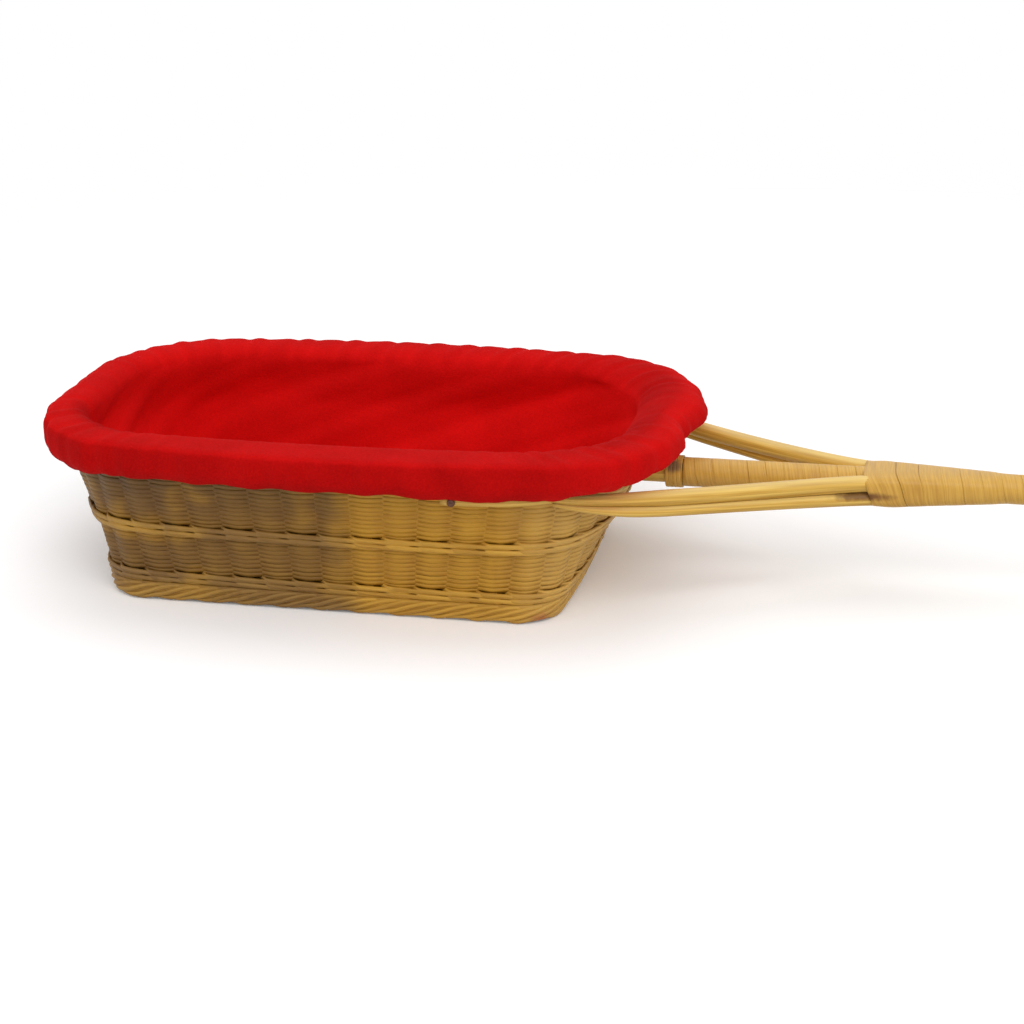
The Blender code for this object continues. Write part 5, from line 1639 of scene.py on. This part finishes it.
class BASKET_OT_stage(bpy.types.Operator):
    """Lay the floor, hang the lamps and set the camera"""

    bl_idname = "basket.stage"
    bl_label = "Set the stage"

    def execute(self, context):
        scene = context.scene
        stage = scene.basket_stage
        scene.view_settings.view_transform = "Standard"
        self.lay_floor(scene, stage.floor_glow)
        self.light_sky(scene, stage.sky_strength)
        for (name, spot, width), power in zip(LAMPS, (stage.key_power, stage.fill_power, stage.top_power)):
            self.hang_lamp(scene, name, np.array(spot), width, power)
        self.set_camera(scene, stage)
        return {"FINISHED"}

    def lay_floor(self, scene, glow):
        """A pale floor, lit from above, that fades into the white background away from the object."""
        reach = FLOOR_REACH
        corners = [(-reach, -reach, 0), (reach, -reach, 0), (reach, reach, 0), (-reach, reach, 0)]
        mesh = bpy.data.meshes.new("floor")
        mesh.from_pydata(corners, [], [(0, 1, 2, 3)])
        floor = bpy.data.objects.new("floor", mesh)
        scene.collection.objects.link(floor)
        made, tree, shader = new_material("Pale floor")
        places = {0: object_place(tree), 1: FLOOR_MIDDLE_POINT}
        away = add_node(tree, "ShaderNodeVectorMath", places, operation="DISTANCE").outputs["Value"]
        solid = minus(tree, 1.0, ramp_between(tree, away, *FLOOR_FADE))
        seen = add_node(tree, "ShaderNodeLightPath").outputs["Is Camera Ray"]
        colour = (*scene.basket_finish.floor, 1.0)
        feed(tree, shader, {"Base Color": colour, "Roughness": 0.9, "Specular IOR Level": 0.0})
        feed(tree, shader, {"Alpha": solid})
        feed(tree, shader, {"Emission Color": (*WHITE, 1.0), "Emission Strength": times(tree, seen, glow)})
        mesh.materials.append(made)

    def light_sky(self, scene, strength):
        """A white background for the camera and for reflections, and an even soft light for the rest."""
        world = bpy.data.worlds.new("studio")
        scene.world = world
        world.use_nodes = True
        tree = world.node_tree
        tree.nodes.clear()
        rays = add_node(tree, "ShaderNodeLightPath")
        seen = calculate(tree, "MAXIMUM", rays.outputs["Is Camera Ray"], rays.outputs["Is Glossy Ray"])
        power = plus(tree, times(tree, seen, 1.0 - strength), strength)
        back = add_node(tree, "ShaderNodeBackground", {"Color": (*WHITE, 1.0), "Strength": power})
        add_node(tree, "ShaderNodeOutputWorld", {0: back.outputs[0]})

    def hang_lamp(self, scene, name, spot, width, power):
        """A square lamp that faces the basket."""
        lamp = bpy.data.lights.new(name, "AREA")
        lamp.size = width
        lamp.energy = power
        holder = bpy.data.objects.new(name, lamp)
        back = spot - np.array(LAMP_TARGET)
        back = back / np.linalg.norm(back)
        right = np.cross([0.0, 0.0, 1.0], back)
        right = right / np.linalg.norm(right)
        holder.matrix_world = self.matrix(right, np.cross(back, right), back, spot)
        scene.collection.objects.link(holder)

    def set_camera(self, scene, stage):
        """The photograph's camera: turned round, raised and tilted about a target, then moved sideways."""
        azimuth, elevation, tilt = stage.azimuth, stage.elevation, stage.tilt
        flat = np.array([math.sin(azimuth), -math.cos(azimuth), 0.0])
        back = flat * math.cos(elevation) + np.array([0.0, 0.0, math.sin(elevation)])
        level = np.array([math.cos(azimuth), math.sin(azimuth), 0.0])
        upright = np.cross(back, level)
        right = level * math.cos(tilt) + upright * math.sin(tilt)
        up = upright * math.cos(tilt) - level * math.sin(tilt)
        target = np.array([stage.target_x, 0.0, stage.target_z])
        spot = target + back * stage.distance + right * stage.shift_right + up * stage.shift_up
        data = bpy.data.cameras.new("camera")
        data.lens = stage.lens
        data.clip_start = CAMERA_NEAR
        camera = bpy.data.objects.new("camera", data)
        camera.matrix_world = self.matrix(right, up, back, spot)
        scene.collection.objects.link(camera)
        scene.camera = camera

    @staticmethod
    def matrix(right, up, back, spot):
        """A placing from three directions and a point."""
        placing = np.eye(4)
        placing[:3] = np.stack([right, up, back, spot], axis=1)
        return Matrix(placing.tolist())


OPERATORS = (
    BASKET_OT_stage,
    BASKET_OT_base,
    BASKET_OT_weave,
    BASKET_OT_bands,
    BASKET_OT_arms,
    BASKET_OT_winding,
    BASKET_OT_liner,
)
SETTINGS = (
    ("basket_wicker", WickerSettings),
    ("basket_handle", HandleSettings),
    ("basket_liner", LinerSettings),
    ("basket_finish", FinishSettings),
    ("basket_stage", StageSettings),
)


class BASKET_PT_sidebar(bpy.types.Panel):
    """The basket's steps and their settings"""

    bl_idname = "BASKET_PT_sidebar"
    bl_label = "Collection Basket"
    bl_space_type = "VIEW_3D"
    bl_region_type = "UI"
    bl_category = "Basket"

    def draw(self, context):
        layout = self.layout
        for step in OPERATORS:
            layout.operator(step.bl_idname)
        for name, group in SETTINGS:
            box = layout.box()
            box.label(text=group.__doc__)
            for entry in group.__annotations__:
                box.prop(getattr(context.scene, name), entry)


def register():
    """Add the settings, the steps and the panel to Blender."""
    for name, group in SETTINGS:
        bpy.utils.register_class(group)
        setattr(bpy.types.Scene, name, bpy.props.PointerProperty(type=group))
    for step in OPERATORS:
        bpy.utils.register_class(step)
    bpy.utils.register_class(BASKET_PT_sidebar)


def unregister():
    """Take the panel, the steps and the settings out of Blender again."""
    bpy.utils.unregister_class(BASKET_PT_sidebar)
    for step in reversed(OPERATORS):
        bpy.utils.unregister_class(step)
    for name, group in reversed(SETTINGS):
        delattr(bpy.types.Scene, name)
        bpy.utils.unregister_class(group)


def main():
    """Make the whole basket and its stage."""
    register()
    for step in OPERATORS:
        group, name = step.bl_idname.split(".")
        getattr(getattr(bpy.ops, group), name)()


if __name__ == "__main__":
    main()
